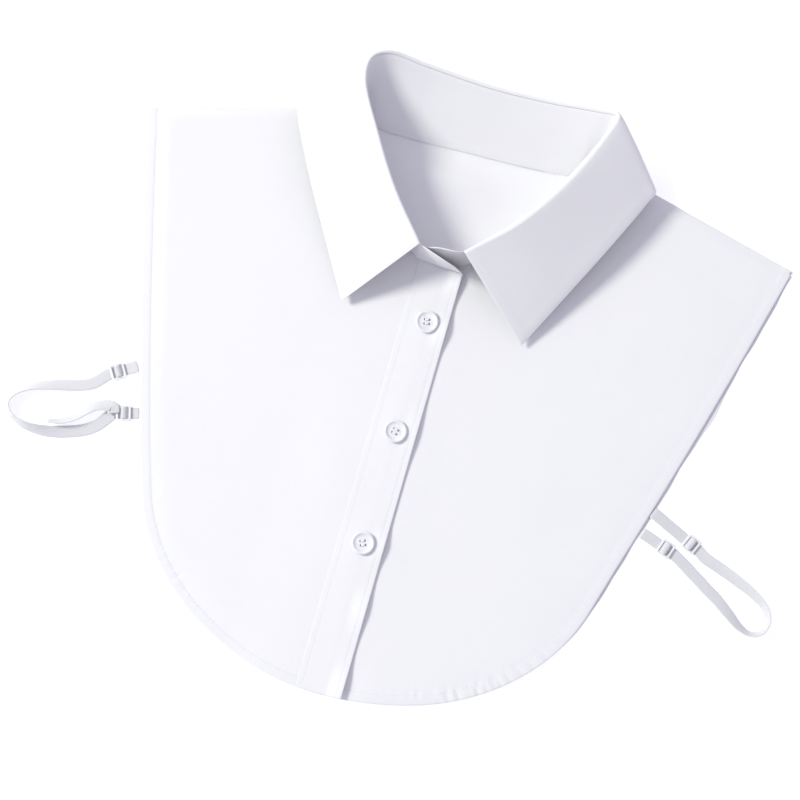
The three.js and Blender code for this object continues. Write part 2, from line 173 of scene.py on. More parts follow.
class Paint:
    def __init__(self, name):
        self.material = bpy.data.materials.new(name)
        self.material.use_nodes = True
        self.tree = self.material.node_tree
        self.surface = self.tree.nodes["Principled BSDF"]

    def node(self, kind, settings=None, inputs=(), output=0):
        made = self.tree.nodes.new(kind)
        for key, value in (settings or {}).items():
            setattr(made, key, value)
        pairs = inputs.items() if isinstance(inputs, dict) else enumerate(inputs)
        for key, value in pairs:
            self.feed(made.inputs[key], value)
        return Wire(self, made.outputs[output])

    def feed(self, socket, value):
        if isinstance(value, Wire):
            self.tree.links.new(value.socket, socket)
        else:
            socket.default_value = value

    def finish(self, **sockets):
        for key, value in sockets.items():
            self.feed(self.surface.inputs[key.replace("_", " ")], value)
        return self.material

    def attribute(self, name):
        return self.node("ShaderNodeAttribute", {"attribute_name": name}, output="Fac")

    def flatPlace(self):  # the cloth's own flat coordinates, in metres
        return self.node("ShaderNodeUVMap", {"uv_map": "cloth"})

    def acrossAndAlong(self, place):
        across = self.node("ShaderNodeSeparateXYZ", {}, [place])
        return across, across.second()

    def objectPlace(self):
        return self.node("ShaderNodeTexCoord", output="Object")

    def stretched(self, place, scale):
        return self.node("ShaderNodeMapping", {}, {"Vector": place, "Scale": scale})

    def clouds(self, place, scale, detail=3.0, roughness=0.5):
        return self.node("ShaderNodeTexNoise", {}, {"Vector": place, "Scale": scale,
                                                    "Detail": detail, "Roughness": roughness})

    def blend(self, factor, first, second):
        return self.node("ShaderNodeMix", {"data_type": "RGBA"},
                         {0: factor, 6: first, 7: second}, output=2)

    def wave(self, value, pitch):  # -1 to 1 along a coordinate in metres
        return (value * (2 * math.pi / pitch)).calc("SINE")

    def bump(self, height, distance, strength=1.0, below=None):
        inputs = {"Height": height, "Distance": distance, "Strength": strength}
        if below:
            inputs["Normal"] = below
        return self.node("ShaderNodeBump", {}, inputs)


# Lengths in the looks are in metres.
poplinLook = {"light": (0.81, 0.807, 0.832, 1), "dark": (0.765, 0.762, 0.80, 1),
              "thread": 0.00042, "weftShare": 1.15, "threadDrift": 0.00012,
              "weaveDepth": 0.00005, "creaseDepth": 0.00025, "slubLength": 14, "sheen": 0.12}


def makePoplin():
    paint = Paint("poplin")
    place = paint.flatPlace()
    across, along = paint.acrossAndAlong(place)
    drift = paint.clouds(place, 900, 2.0) * poplinLook["threadDrift"]
    warp = paint.wave(across + drift, poplinLook["thread"])
    weft = paint.wave(along + drift, poplinLook["thread"] * poplinLook["weftShare"])
    weave = warp * weft
    long = poplinLook["slubLength"]
    slubs = paint.clouds(paint.stretched(place, (1, long, 1)), 140, 3.0, 0.6)
    crossSlubs = paint.clouds(paint.stretched(place, (long, 1, 1)), 120, 3.0, 0.6)
    mottle = paint.clouds(place, 22, 4.0, 0.55)
    soft = paint.clouds(place, 60, 3.0, 0.5)
    hem = paint.attribute("hem")
    groove = paint.attribute("groove")
    # The groove mask darkens the cloth along its seam lines and at the stand's foot: painted
    # shade in the grooves.
    tone = (mottle * 0.5 + slubs * 0.35 + crossSlubs * 0.3 + weave * 0.06
            + hem * 0.22 + groove * 0.5 - 0.35)
    colour = paint.blend(tone.clamped(), poplinLook["light"], poplinLook["dark"])
    rough = 0.8 + slubs * 0.12 - weave * 0.03
    coarse = paint.bump(soft + slubs * 0.25, poplinLook["creaseDepth"], 0.5)
    fine = paint.bump(weave + slubs * 0.8 + crossSlubs * 0.6, poplinLook["weaveDepth"], 0.55,
                      coarse)
    return paint.finish(Base_Color=colour, Roughness=rough, Normal=fine,
                        Sheen_Weight=poplinLook["sheen"], Sheen_Roughness=0.5,
                        Specular_IOR_Level=0.25)


elasticLook = {"light": (0.75, 0.75, 0.775, 1), "dark": (0.575, 0.575, 0.62, 1),
               "cordPitch": 0.00085, "pickPitch": 0.0006, "ribDepth": 0.00012, "sheen": 0.15}


def makeElastic():
    paint = Paint("elastic")
    place = paint.flatPlace()
    across, along = paint.acrossAndAlong(place)
    cords = paint.wave(across, elasticLook["cordPitch"])
    picks = paint.wave(along, elasticLook["pickPitch"])
    fuzz = paint.clouds(place, 1500, 2.0)
    ribs = cords * 0.6 + cords * picks * 0.5 + fuzz * 0.4
    shade = (0.45 - ribs * 0.28).clamped()
    colour = paint.blend(shade, elasticLook["light"], elasticLook["dark"])
    return paint.finish(Base_Color=colour, Roughness=0.72 + fuzz * 0.15,
                        Normal=paint.bump(ribs, elasticLook["ribDepth"], 0.8),
                        Sheen_Weight=elasticLook["sheen"], Specular_IOR_Level=0.3)


threadLook = {"light": (0.86, 0.86, 0.89, 1), "dark": (0.72, 0.72, 0.78, 1),
              "lintDepth": 0.00003, "sheen": 0.1}


def makeThread():
    paint = Paint("thread")
    lint = paint.clouds(paint.objectPlace(), 4200, 2.0)
    colour = paint.blend(lint, threadLook["light"], threadLook["dark"])
    return paint.finish(Base_Color=colour, Roughness=0.55 + lint * 0.25,
                        Normal=paint.bump(lint, threadLook["lintDepth"], 0.6),
                        Sheen_Weight=threadLook["sheen"])


pearlLook = {"light": (0.86, 0.86, 0.87, 1), "dark": (0.70, 0.71, 0.75, 1),
             "rippleDepth": 0.00004, "coat": 0.5, "glow": 0.15,
             "glowDepth": (0.002, 0.002, 0.0022)}


def makePearl():
    paint = Paint("pearl")
    place = paint.objectPlace()
    warped = paint.clouds(paint.stretched(place, (1, 2.4, 1)), 190, 3.0, 0.6)
    swirl = paint.node("ShaderNodeTexWave", {"wave_type": "BANDS", "bands_direction": "DIAGONAL"},
                       {"Vector": place, "Scale": 60, "Distortion": 9.0, "Detail": 2.0,
                        "Detail Scale": 1.6})
    sheenBand = warped * 0.6 + swirl.second() * 0.4
    colour = paint.blend(sheenBand, pearlLook["light"], pearlLook["dark"])
    return paint.finish(Base_Color=colour, Roughness=0.22 + warped * 0.14,
                        Normal=paint.bump(warped, pearlLook["rippleDepth"], 0.3),
                        Coat_Weight=pearlLook["coat"], Coat_Roughness=0.12,
                        Subsurface_Weight=pearlLook["glow"],
                        Subsurface_Radius=pearlLook["glowDepth"], IOR=1.53)


mouldedLook = {"light": (0.84, 0.84, 0.86, 1), "dark": (0.74, 0.74, 0.78, 1),
               "scuffDepth": 0.00003, "coat": 0.25}


def makeMoulded():
    paint = Paint("mouldedPlastic")
    place = paint.objectPlace()
    cloud = paint.clouds(place, 350, 3.0)
    scuffs = paint.clouds(paint.stretched(place, (1, 6, 1)), 900, 2.0)
    colour = paint.blend(cloud, mouldedLook["light"], mouldedLook["dark"])
    return paint.finish(Base_Color=colour, Roughness=0.24 + scuffs * 0.16,
                        Normal=paint.bump(scuffs, mouldedLook["scuffDepth"], 0.4),
                        Coat_Weight=mouldedLook["coat"])


paperLook = {"light": (0.93, 0.93, 0.94, 1), "dark": (0.90, 0.90, 0.915, 1),
             "grainDepth": 0.0001, "glow": 0.42}


def makePaper():
    paint = Paint("paleFloor")
    grain = paint.clouds(paint.objectPlace(), 500, 3.0)
    colour = paint.blend(grain, paperLook["light"], paperLook["dark"])
    return paint.finish(Base_Color=colour, Roughness=0.9, Specular_IOR_Level=0.1,
                        Emission_Color=(1, 1, 1, 1), Emission_Strength=paperLook["glow"],
                        Normal=paint.bump(grain, paperLook["grainDepth"], 0.1))


poplin = makePoplin()
elastic = makeElastic()
thread = makeThread()
pearl = makePearl()
moulded = makeMoulded()
paper = makePaper()
print("materials made")


def makePiece(name, vertices, faces, material, masks=None, uv=None):
    mesh = bpy.data.meshes.new(name)
    mesh.from_pydata([tuple(v) for v in vertices], [], [tuple(f) for f in faces])
    mesh.materials.append(material)
    mesh.shade_smooth()
    for key, values in (masks or {}).items():
        layer = mesh.attributes.new(key, "FLOAT", "POINT")
        layer.data.foreach_set("value", np.asarray(values, dtype=np.float32))
    if uv is not None:
        layer = mesh.uv_layers.new(name="cloth")
        corners = np.empty(len(mesh.loops), dtype=np.int32)
        mesh.loops.foreach_get("vertex_index", corners)
        layer.data.foreach_set("uv", uv[corners].astype(np.float32).ravel())
    return linked(name, mesh)


def gridNormals(grid):
    return unit(np.cross(np.gradient(grid, axis=0), np.gradient(grid, axis=1)))


def borderOf(rows, columns):
    path = [(0, c) for c in range(columns)]
    path += [(r, columns - 1) for r in range(1, rows)]
    path += [(rows - 1, c) for c in range(columns - 2, -1, -1)]
    path += [(r, 0) for r in range(rows - 2, 0, -1)]
    return np.array(path)


def flatPlaces(grid):  # distances across and along the cloth, in metres
    down = np.linalg.norm(np.diff(grid, axis=0), axis=2)
    over = np.linalg.norm(np.diff(grid, axis=1), axis=2)
    u = np.concatenate([np.zeros((1, grid.shape[1])), np.cumsum(down, axis=0)])
    v = np.concatenate([np.zeros((grid.shape[0], 1)), np.cumsum(over, axis=1)], axis=1)
    return np.stack([u, v], axis=2) / 1000


# Closed shell about a grid of middle points, with a rounded rim.
def makeShell(name, grid, thickness, material, masks=None, uv=None):
    rows, columns = grid.shape[:2]
    normals = gridNormals(grid)
    half = np.broadcast_to(np.asarray(thickness, dtype=float) / 2, (rows, columns, 1))
    path = borderOf(rows, columns)
    r, c = path[:, 0], path[:, 1]
    edge = grid[r, c]
    tangent = unit(np.roll(edge, -1, axis=0) - np.roll(edge, 1, axis=0))
    outward = unit(np.cross(tangent, normals[r, c]))
    inner = grid[np.clip(r, 1, rows - 2), np.clip(c, 1, columns - 2)]
    outward *= np.sign(dot(outward, edge - inner) + 1e-9)
    layers = [grid + normals * half, grid - normals * half]
    rims = [edge + half[r, c] * (normals[r, c] * math.sin(a) + outward * math.cos(a))
            for a in (math.pi / 4, 0, -math.pi / 4)]
    vertices = np.concatenate([layers[0].reshape(-1, 3), layers[1].reshape(-1, 3), *rims])
    size, count = rows * columns, len(path)
    index = np.arange(size).reshape(rows, columns)
    a, b = index[:-1, :-1].ravel(), index[1:, :-1].ravel()
    d, e = index[1:, 1:].ravel(), index[:-1, 1:].ravel()
    faces = [np.stack([a, b, d, e], 1), np.stack([e, d, b, a], 1) + size]
    border = index[r, c]
    rings = [border, *[2 * size + k * count + np.arange(count) for k in range(3)], border + size]
    for upper, lower in zip(rings[:-1], rings[1:]):
        faces.append(np.stack([upper, np.roll(upper, -1), np.roll(lower, -1), lower], 1))
    faces = np.concatenate(faces)
    origin = vertices[0]
    corners = vertices[faces] - origin
    volume = np.sum(corners[:, 0] * np.cross(corners[:, 1], corners[:, 2]))
    if volume < 0:
        faces = faces[:, ::-1]

    def spread(values):  # from the grid to both faces and the rim
        return np.concatenate([values.reshape(size, -1)] * 2
                              + [values[r, c].reshape(count, -1)] * 3)

    uv = flatPlaces(grid) if uv is None else uv
    loose = {"hem": np.zeros((rows, columns)), "groove": np.zeros((rows, columns)),
             **(masks or {})}
    return makePiece(name, inFrame(vertices), faces, material,
                     {key: spread(values).ravel() for key, values in loose.items()}, spread(uv))


# The bib, with its outline, its heights above the table and the steps of its grids.
bib = {"tipH": 191.0, "tipY": 45.0, "tipBlunt": 0.6, "shoulderSlope": 15.3, "hemHalfWidth": 134.0,
       "hemHeight": 110.0, "hemCentreY": -143.0, "hemJoinH": 130.0, "sideBow": 1.8,
       "skewAcross": 0.02, "skewUp": 0.0155, "skewFrom": 70.0, "skewTo": 104.0,
       "neckHalfWidth": 70.0, "neckShoulderY": 78.0, "neckFrontY": -1.2, "neckSideY": 40.0,
       "neckFlatH": 31.0, "neckInset": 1.2, "backNeckY": 66.8, "backNeckFlat": 50.0,
       "thickness": 0.55, "backZ": 0.42, "frontZ": 2.05, "underZ": 2.4, "overZ": 3.02,
       "leftDrop": 0.85, "rightDrop": 0.2, "dropWidth": 15.0, "tipDrop": 0.9, "underDrop": 0.55,
       "hemWidth": 5.6, "creaseFade": 22.0,
       "columns": 360, "backColumns": 150, "rows": 58}


def hemLine(h):
    h = np.abs(np.asarray(h, dtype=float))
    tall, half, join = bib["hemHeight"], bib["hemHalfWidth"], bib["hemJoinH"]
    arc = bib["hemCentreY"] - tall * np.sqrt(np.clip(1 - (h / half) ** 2, 0, 1))
    joinY = bib["hemCentreY"] - tall * math.sqrt(1 - (join / half) ** 2)
    climb = (bib["tipY"] - joinY) / (bib["tipH"] - join)
    share = (h - join) / (bib["tipH"] - join)
    side = joinY + (bib["tipY"] - joinY) * share
    side -= bib["sideBow"] * climb * 4 * share * (1 - share)
    return np.where(h <= join, arc, side)


def shoulderLine(h):
    return bib["tipY"] + (bib["tipH"] - h) * math.tan(math.radians(bib["shoulderSlope"]))


def frontNeckPoints(drop):  # the neckline from the centre to the shoulder
    t = np.linspace(1, 0, 400)[:, None]
    half, low = bib["neckHalfWidth"], bib["neckFrontY"] - drop
    corners = [np.array(p) for p in ((half, bib["neckShoulderY"]), (half - 4, bib["neckSideY"]),
                                     (bib["neckFlatH"], low), (0.0, low))]
    point = sum(k * (1 - t) ** (3 - i) * t ** i * corners[i]
                for i, k in enumerate((1, 3, 3, 1)))
    along = sum(k * (1 - t) ** (2 - i) * t ** i * (corners[i + 1] - corners[i])
                for i, k in enumerate((3, 6, 3)))
    along = unit(along)
    return point + bib["neckInset"] * np.stack([along[:, 1], -along[:, 0]], 1)


def frontTop(h, drop):
    neckline = frontNeckPoints(drop)
    h = np.abs(h) * (np.asarray(h) > 0)
    return np.where(h < neckline[-1, 0], np.interp(h, neckline[:, 0], neckline[:, 1]),
                    shoulderLine(h))


def backTop(h):
    half, flat = bib["neckHalfWidth"], bib["backNeckFlat"]
    share = np.clip((np.abs(h) - flat) / (half - flat), 0, 1)
    curve = bib["backNeckY"] + (bib["neckShoulderY"] - bib["backNeckY"]) * share ** 2
    return np.where(np.abs(h) < half - bib["neckInset"], curve, shoulderLine(np.abs(h)))


def onBib(side, h, y):  # the closing leans, and the sides lie a little askew
    x = side * h + y * closing["lean"] * (1 - rise(np.abs(h), closing["fadeFrom"],
                                                    closing["fadeTo"]))
    reach = rise(np.abs(x), bib["skewFrom"], bib["skewTo"])
    height = np.maximum(0, y - bib["hemCentreY"]) * reach
    share = height / (bib["tipY"] - bib["hemCentreY"])
    return np.stack([x + height * bib["skewAcross"], y + x * share * bib["skewUp"]], -1)


def evenAlong(h, y, count):  # half widths at even steps along the outline
    run = np.concatenate([[0], np.cumsum(np.hypot(np.diff(h), np.diff(y)))])
    return np.interp(np.linspace(0, run[-1], count), run, h)


# Distances of the narrow rows from the hem.
hemSteps = np.array([0, 0.5, 1.3, 2.4, 3.6, 4.5, 5.0, 5.4, 5.8, 6.3, 7.2, 8.6, 10.5])


# Grid of flat places: columns from the hem to the top, with narrow rows along the hem.
def bibGrid(h, topH, side, topOf):
    hemPlace = onBib(side, h, hemLine(h))
    topPlace = onBib(side, topH, topOf(topH))
    tangent = unit(np.gradient(hemPlace, axis=0))
    inward = np.stack([-tangent[:, 1], tangent[:, 0]], 1)
    inward *= np.sign(dot(inward, topPlace - hemPlace))
    reach = np.linalg.norm(topPlace - hemPlace, axis=1)
    squeeze = np.minimum(1, reach / (2.6 * hemSteps[-1]))
    strip = hemPlace[:, None] + inward[:, None] * (hemSteps[None, :, None]
                                                   * squeeze[:, None, None])
    share = np.linspace(0, 1, bib["rows"])[1:]
    body = strip[:, -1:] * (1 - share[None, :, None]) + topPlace[:, None] * share[None, :, None]
    flat = np.concatenate([strip, body], axis=1)
    fromTop = np.linalg.norm(flat - topPlace[:, None], axis=2)
    fromHem = np.sum((flat - hemPlace[:, None]) * inward[:, None], axis=2)
    return flat, fromHem, fromTop


# Soft creases pressed into the bib: where each starts and ends, its width, and its height.
creases = table(("x0", "y0", "x1", "y1", "width", "height"), (
    (-150, -20, -60, -70, 26, 0.30), (-128, -120, -40, -150, 30, -0.28),
    (-60, -40, -24, -160, 16, 0.22), (-95, -205, -30, -215, 18, 0.22),
    (60, -60, 150, -30, 26, -0.26), (40, -110, 135, -100, 30, 0.30),
    (24, -60, 34, -190, 13, -0.24), (60, -190, 118, -160, 20, 0.26),
    (28, -215, 78, -222, 12, 0.24), (120, 30, 170, -20, 22, 0.24),
    (-165, 32, -120, 0, 20, -0.24), (96, -60, 112, -170, 18, -0.18),
))


def creaseHeight(flat):
    height = np.zeros(flat.shape[:2])
    for crease in creases:
        start = np.array([crease["x0"], crease["y0"]], dtype=float)
        run = np.array([crease["x1"], crease["y1"]], dtype=float) - start
        length = np.linalg.norm(run)
        along = np.clip(np.sum((flat - start) * run, axis=2) / length ** 2, 0, 1)
        away = np.linalg.norm(flat - start - along[..., None] * run, axis=2)
        height += crease["height"] * np.exp(-(away / crease["width"]) ** 2) * np.sin(
            math.pi * (0.12 + 0.76 * along))
    return height


# Little gathers along a hem: some short stretches pull more than others.
gathers = {"height": 0.07, "stretch": (31, 13), "pitch": (1.15, 0.71)}


def puckers(run, seed):
    rng = np.random.default_rng(seed)
    phase = rng.uniform(0, 2 * math.pi, 4)
    long, short = gathers["stretch"]
    wide, narrow = gathers["pitch"]
    pull = 0.35 + 0.65 * np.clip(np.sin(run / long + phase[0])
                                 + np.sin(run / short + phase[1]), 0, 2)
    ripple = np.sin(run / wide + phase[2] + 1.3 * np.sin(run / 5)) + 0.6 * np.sin(
        run / narrow + phase[3])
    return gathers["height"] * pull * ripple


# Sharp little tucks in the hem of the right front, by distance along it from the closing.
nicks = table(("run", "depth", "width", "reach"), (
    (79, 0.25, 1.2, 7), (84, 0.4, 1.1, 8), (90.1, 0.5, 1.2, 9), (101.2, 0.7, 1.0, 8),
    (106.6, 0.4, 1.1, 7), (111.4, 0.3, 1.1, 8), (114.8, 0.5, 1.0, 9), (120.5, 0.35, 1.3, 7),
    (128.5, 0.5, 1.4, 10), (135.6, 0.4, 1.3, 9), (144.7, 0.45, 1.5, 10), (158, 0.25, 1.4, 8),
))


def nickDepth(fromHem, run):
    return sum(nick["depth"] * hump(run[:, None] + 0.25 * fromHem, nick["run"], nick["width"])
               * (1 - rise(fromHem, 0.2 * nick["reach"], nick["reach"])) for nick in nicks)


hemForm = {"fold": 0.22, "groove": 0.14, "seamIn": 0.4, "seamWidth": 0.5, "gatherWidth": 3.0}


def hemShape(fromHem, run, extra, seed):  # the turned hem, its seam groove and its gathers
    width, seam = bib["hemWidth"], bib["hemWidth"] - hemForm["seamIn"]
    fold = hemForm["fold"] * (1 - rise(fromHem, width - 0.5, width + 0.5))
    fold = fold * rise(fromHem, -0.3, 0.6)
    groove = -hemForm["groove"] * hump(fromHem, seam, hemForm["seamWidth"])
    gather = puckers(run, seed) * (0.3 + 4 * extra)
    return fold + groove + gather[:, None] * hump(fromHem, seam, hemForm["gatherWidth"])


# The right edge, where the front draws in a little and the back shows past it.
rightEdge = {"outward": (0.87, -0.45), "along": (112, 142), "fromHem": (2, 14), "tuck": 0.8,
             "peep": 0.7, "peepWave": 0.25, "peepRipple": 0.2, "peepBulge": 1.3}


def sideways(x, fromHem):  # the share of a small shift that each place takes
    return rise(x, *rightEdge["along"]) * (1 - rise(fromHem, *rightEdge["fromHem"]))


# Where the heights of the fronts change, from the leaning centre line or from the hem.
front = {"lap": (-62, -15), "closingLift": 2, "under": (14, 60), "underHem": (8, 26),
         "underLap": (12, 26), "creases": (14, 30), "outer": (20, 60), "leastDrop": 0.35,
         "tip": (72, 84), "tipFade": 7, "leftSeed": 5, "rightSeed": 8,
         "rightGather": (88, 38), "leftGather": (150, 40), "leftGatherShare": 0.25}


def frontShape(side):
    over = side < 0
    edge = closing["overEdge"] if over else closing["underEdge"]
    drop = closing["lapDrop"] if over else 0.0
    fine = np.linspace(-edge, bib["tipH"] - bib["tipBlunt"], 8000)
    h = evenAlong(fine, hemLine(fine), bib["columns"])
    topH = evenAlong(fine, frontTop(fine, drop), bib["columns"])
    flat, fromHem, fromTop = bibGrid(h, topH, side, lambda value: frontTop(value, drop))
    run = alongPath(flat[:, 0])
    x, y = flat[..., 0], flat[..., 1]
    offset = x - y * closing["lean"]  # from the leaning centre line
    z = np.full(x.shape, bib["frontZ"])
    if over:
        z = z + (bib["overZ"] - bib["frontZ"]) * rise(offset, *front["lap"])
        z += closingLift(offset, y)
    else:
        z = z + (bib["underZ"] - bib["frontZ"]) * (1 - rise(offset, *front["under"]))
        z -= bib["underDrop"] * (1 - rise(fromHem, *front["underHem"])) * (
            1 - rise(offset, *front["underLap"]))
    fade = rise(np.minimum(fromHem, fromTop), 0, bib["creaseFade"])
    z = z + creaseHeight(flat) * fade * rise(np.abs(offset), *front["creases"])
    outer = rise(np.abs(offset), *front["outer"])
    edgeDrop = bib["leftDrop" if over else "rightDrop"] * (1 - rise(fromHem, 0, bib["dropWidth"]))
    tipDrop = bib["tipDrop"] * (1 - rise(fromTop, 0, front["tipFade"])) * rise(
        np.abs(x), *front["tip"])
    z -= np.maximum(edgeDrop * np.maximum(outer, front["leastDrop"]), tipDrop)
    if over:
        extra = front["leftGatherShare"] * hump(run, *front["leftGather"])
        z += hemShape(fromHem, run, extra, front["leftSeed"])
    else:
        z += hemShape(fromHem, run, hump(run, *front["rightGather"]), front["rightSeed"])
        z -= nickDepth(fromHem, run)
        pulled = sideways(x, fromHem)
        x = x - rightEdge["outward"][0] * rightEdge["tuck"] * pulled
        y = y - rightEdge["outward"][1] * rightEdge["tuck"] * pulled
    return np.dstack([x, y, z]), fromHem


# How far the closing edge stands up: it waves a little between the buttons.
lifts = table(("y", "width", "height"), (
    (-8, 10, 2.1), (-39, 9, 1.8), (-100, 13, 1.0), (-166, 8, 1.5), (-203, 11, 1.2),
    (-248, 12, 1.7)))
buttonSwell = {"height": 0.45, "length": 13, "width": 12}


def closingLift(offset, y):  # of the waving edge, and a little under each button
    edge = sum(row["height"] * hump(y, row["y"], row["width"]) for row in lifts)
    spots = sum(hump(y, buttonY(i), buttonSwell["length"]) for i in range(3))
    return edge * rise(offset, front["closingLift"], closing["overEdge"]) + (
        buttonSwell["height"] * spots * hump(offset, 0, buttonSwell["width"]))


def masksFor(fromHem):
    width = bib["hemWidth"]
    # The groove mask darkens the colour along the hem's stitched seam: painted shade in the seam
    # groove.
    return {"hem": 1 - rise(fromHem, width - 0.3, width + 0.5),
            "groove": hump(fromHem, width - hemForm["seamIn"], 0.45)}


def makeFront(name, side):
    grid, fromHem = frontShape(side)
    flat = grid[..., :2] / 1000
    piece = makeShell(name, grid, bib["thickness"], poplin, masksFor(fromHem), flat)
    return piece, grid, fromHem


def peepOut(flat, fromHem):  # the back's edge shows unevenly past the right front
    x, y = flat[..., 0], flat[..., 1]
    amount = (rightEdge["peep"] + rightEdge["peepWave"] * np.sin(y / 9)
              + rightEdge["peepRipple"] * np.sin(y / 3.7 + 1)
              + rightEdge["peepBulge"] * hump(y, -47, 17)) * sideways(x, fromHem)
    return np.stack([share * amount for share in rightEdge["outward"]], -1)


# Inside the neck the back swells up towards the stand.
backSwell = {"x": -16, "y": 46, "height": 4.6, "halfWidth": 30, "below": 26, "above": 9,
             "hemHeight": 0.12}


def makeBack():
    fine = np.linspace(0, bib["tipH"] - bib["tipBlunt"], 8000)
    h, topH = (np.concatenate([-right[:0:-1], right]) for right in (
        evenAlong(fine, line(fine), bib["backColumns"]) for line in (hemLine, backTop)))
    flat, fromHem = bibGrid(h, topH, 1, backTop)[:2]
    flat = flat + peepOut(flat, fromHem)
    z = np.full(flat.shape[:2], bib["backZ"]) + backSwell["hemHeight"] * (
        1 - rise(fromHem, bib["hemWidth"] - 0.5, bib["hemWidth"] + 0.5))
    crest = flat[..., 1] - backSwell["y"]
    reach = np.where(crest < 0, backSwell["below"], backSwell["above"])
    z += backSwell["height"] * hump(crest / reach, 0, 1) * hump(
        flat[..., 0], backSwell["x"], backSwell["halfWidth"])
    return makeShell("bibBack", np.dstack([flat, z]), bib["thickness"], poplin,
                     masksFor(fromHem), flat / 1000)


bibBack = makeBack()
bibRight, rightGrid, rightFromHem = makeFront("bibRight", 1)
bibLeft, leftGrid, leftFromHem = makeFront("bibLeft", -1)
print("bib panels made")

placket = {"thickness": 0.45, "thin": 0.1, "z": 3.7, "stitchInset": 3.0, "seamDepth": 0.1,
           "hemIn": 0.2, "ripple": 0.8, "rippleWidth": 2.2, "wave": 0.08, "waveWidth": 9,
           "columns": 44, "rows": 190}


def placketH():  # distances of its columns from the centre line, from the closing inwards
    return np.linspace(-closing["overEdge"], closing["innerEdge"], placket["columns"])


def placketShape():
    h = placketH()
    v = np.linspace(0, 1, placket["rows"])
    top, bottom = frontTop(h, closing["lapDrop"]), hemLine(h) + placket["hemIn"]
    y = bottom[None] + (top - bottom)[None] * v[:, None]
    flat = onBib(-1, np.broadcast_to(h, y.shape), y)
    fromEdge = np.minimum(h + closing["overEdge"], closing["innerEdge"] - h)[None]
    fromEdge = np.broadcast_to(fromEdge, y.shape)
    offset = -np.broadcast_to(h, y.shape)
    inset = placket["stitchInset"]
    share = np.clip((offset + closing["innerEdge"]) / closing["innerEdge"], 0, 1)
    thickness = placket["thin"] + (placket["thickness"] - placket["thin"]) * share
    z = placket["z"] + (thickness - placket["thickness"]) / 2
    z = z + closingLift(offset, y)
    z = z - placket["seamDepth"] * hump(fromEdge, inset, 0.5) * share
    ripple = puckers(y + 300, 3) * placket["ripple"] * hump(
        fromEdge, inset, placket["rippleWidth"]) * np.where(offset < 0, 1, 0.6)
    z = z + ripple + placket["wave"] * np.sin(y / 17) * hump(offset, -2, placket["waveWidth"])
    # groove darkens the colour along both stitch lines, more towards the closing edge: painted
    # shade in the seams.
    masks = {"groove": hump(fromEdge, inset, 0.45) * (0.3 + 0.7 * share),
             "hem": 0.4 * (1 - rise(fromEdge, inset, inset + 1)) * share}
    return np.dstack([flat, z]), thickness[..., None], masks


placketGrid, placketThickness, placketMasks = placketShape()
placketBand = makeShell(
    "placketBand", placketGrid, placketThickness, poplin, placketMasks,
    placketGrid[..., :2] / 1000)
print("placket made")

# The collar's sections, from the left end of the neck round the back to the right end. Each
# gives the stand's seam, the fold, the leaf's edge, and how the cloth hangs between them.
collar = {"twist": 0.022, "foldLead": 0.5, "backDrop": 9.0, "sideDrop": 3.0, "runIn": 0.42,
          "thickness": 0.9, "rimShare": 0.55, "standThickness": 0.9, "along": 260, "across": 46,
          "foldSteps": 13, "steepest": 75.0}
sectionColumns = ("seamX", "seamY", "seamZ", "foldX", "foldY", "foldZ", "edgeX", "edgeY", "edgeZ",
                  "belly", "flat", "sag", "roll")
sections = table(sectionColumns, (
    (-16, 1.0, 3.7, -16.4, 0.8, 30.0, -50.1, -36.6, 7.2, 0, 0, 0, 0.8),
    (-43, 22.0, 3.1, -37.6, 27.5, 32.5, -67.4, -6.2, 8.0, 0, 0, 0, 0.8),
    (-60.5, 47.0, 2.7, -55.2, 56.0, 33.5, -88.3, 31.5, 11.0, 0, 0, 0, 0.8),
    (-69, 66.0, 2.6, -70.4, 86.0, 33.5, -101.5, 59.0, 14.6, 2, 0, 0, 0.8),
    (-69, 75.5, 2.6, -69.8, 98.2, 33.8, -103.5, 67.5, 14.0, 4, 0, 0.5, 0.8),
    (-59, 68.1, 1.1, -60.6, 104.7, 31.0, -77, 80.5, 3.2, 4, 0.8, 0.8, 0.9),
    (-36, 66.1, 0.95, -39.1, 104.2, 26.2, -42, 75.5, 1.0, 7, 1, 0.5, 1.0),
    (0, 66.0, 0.95, 0.0, 101.6, 23.4, 0, 73.0, 1.0, 7, 1, 0.0, 1.0),
    (36, 66.1, 0.95, 35.1, 101.5, 24.2, 42, 75.5, 1.0, 6, 1, -0.5, 1.0),
    (59, 68.1, 1.1, 61.1, 102.0, 28.0, 79, 80.5, 3.2, 3, 0.8, -0.5, 1.0),
    (69, 75.0, 2.6, 73.4, 100.9, 31.2, 105.3, 67.4, 14.4, 1, 0, 0, 1.2),
    (69, 66.0, 2.6, 69.8, 87.2, 32.3, 102.2, 58.7, 15.6, 1, 0, 0, 1.7),
    (60.5, 47.0, 2.57, 54.3, 54.4, 33.5, 88.9, 30.5, 15.0, 0, 0, 0, 2.1),
    (43, 22.0, 2.65, 33.9, 25.4, 32.5, 69.8, -6.7, 10.2, 0, 0, 0, 2.1),
    (12, 1.0, 3.0, 9.8, 2.1, 30.0, 54.5, -36.2, 5.4, 0, 0, 0, 1.2),
))
sections[0]["seamY"] -= closing["lapDrop"]  # the left front's neckline starts lower
hangKeys = ("belly", "flat", "sag", "roll")


def sectionPoints(key):  # one line's points, which lie a little askew on the bib
    return [np.array([row[key + "X"], row[key + "Y"] + row[key + "X"] * collar["twist"],
                      row[key + "Z"]]) for row in sections]


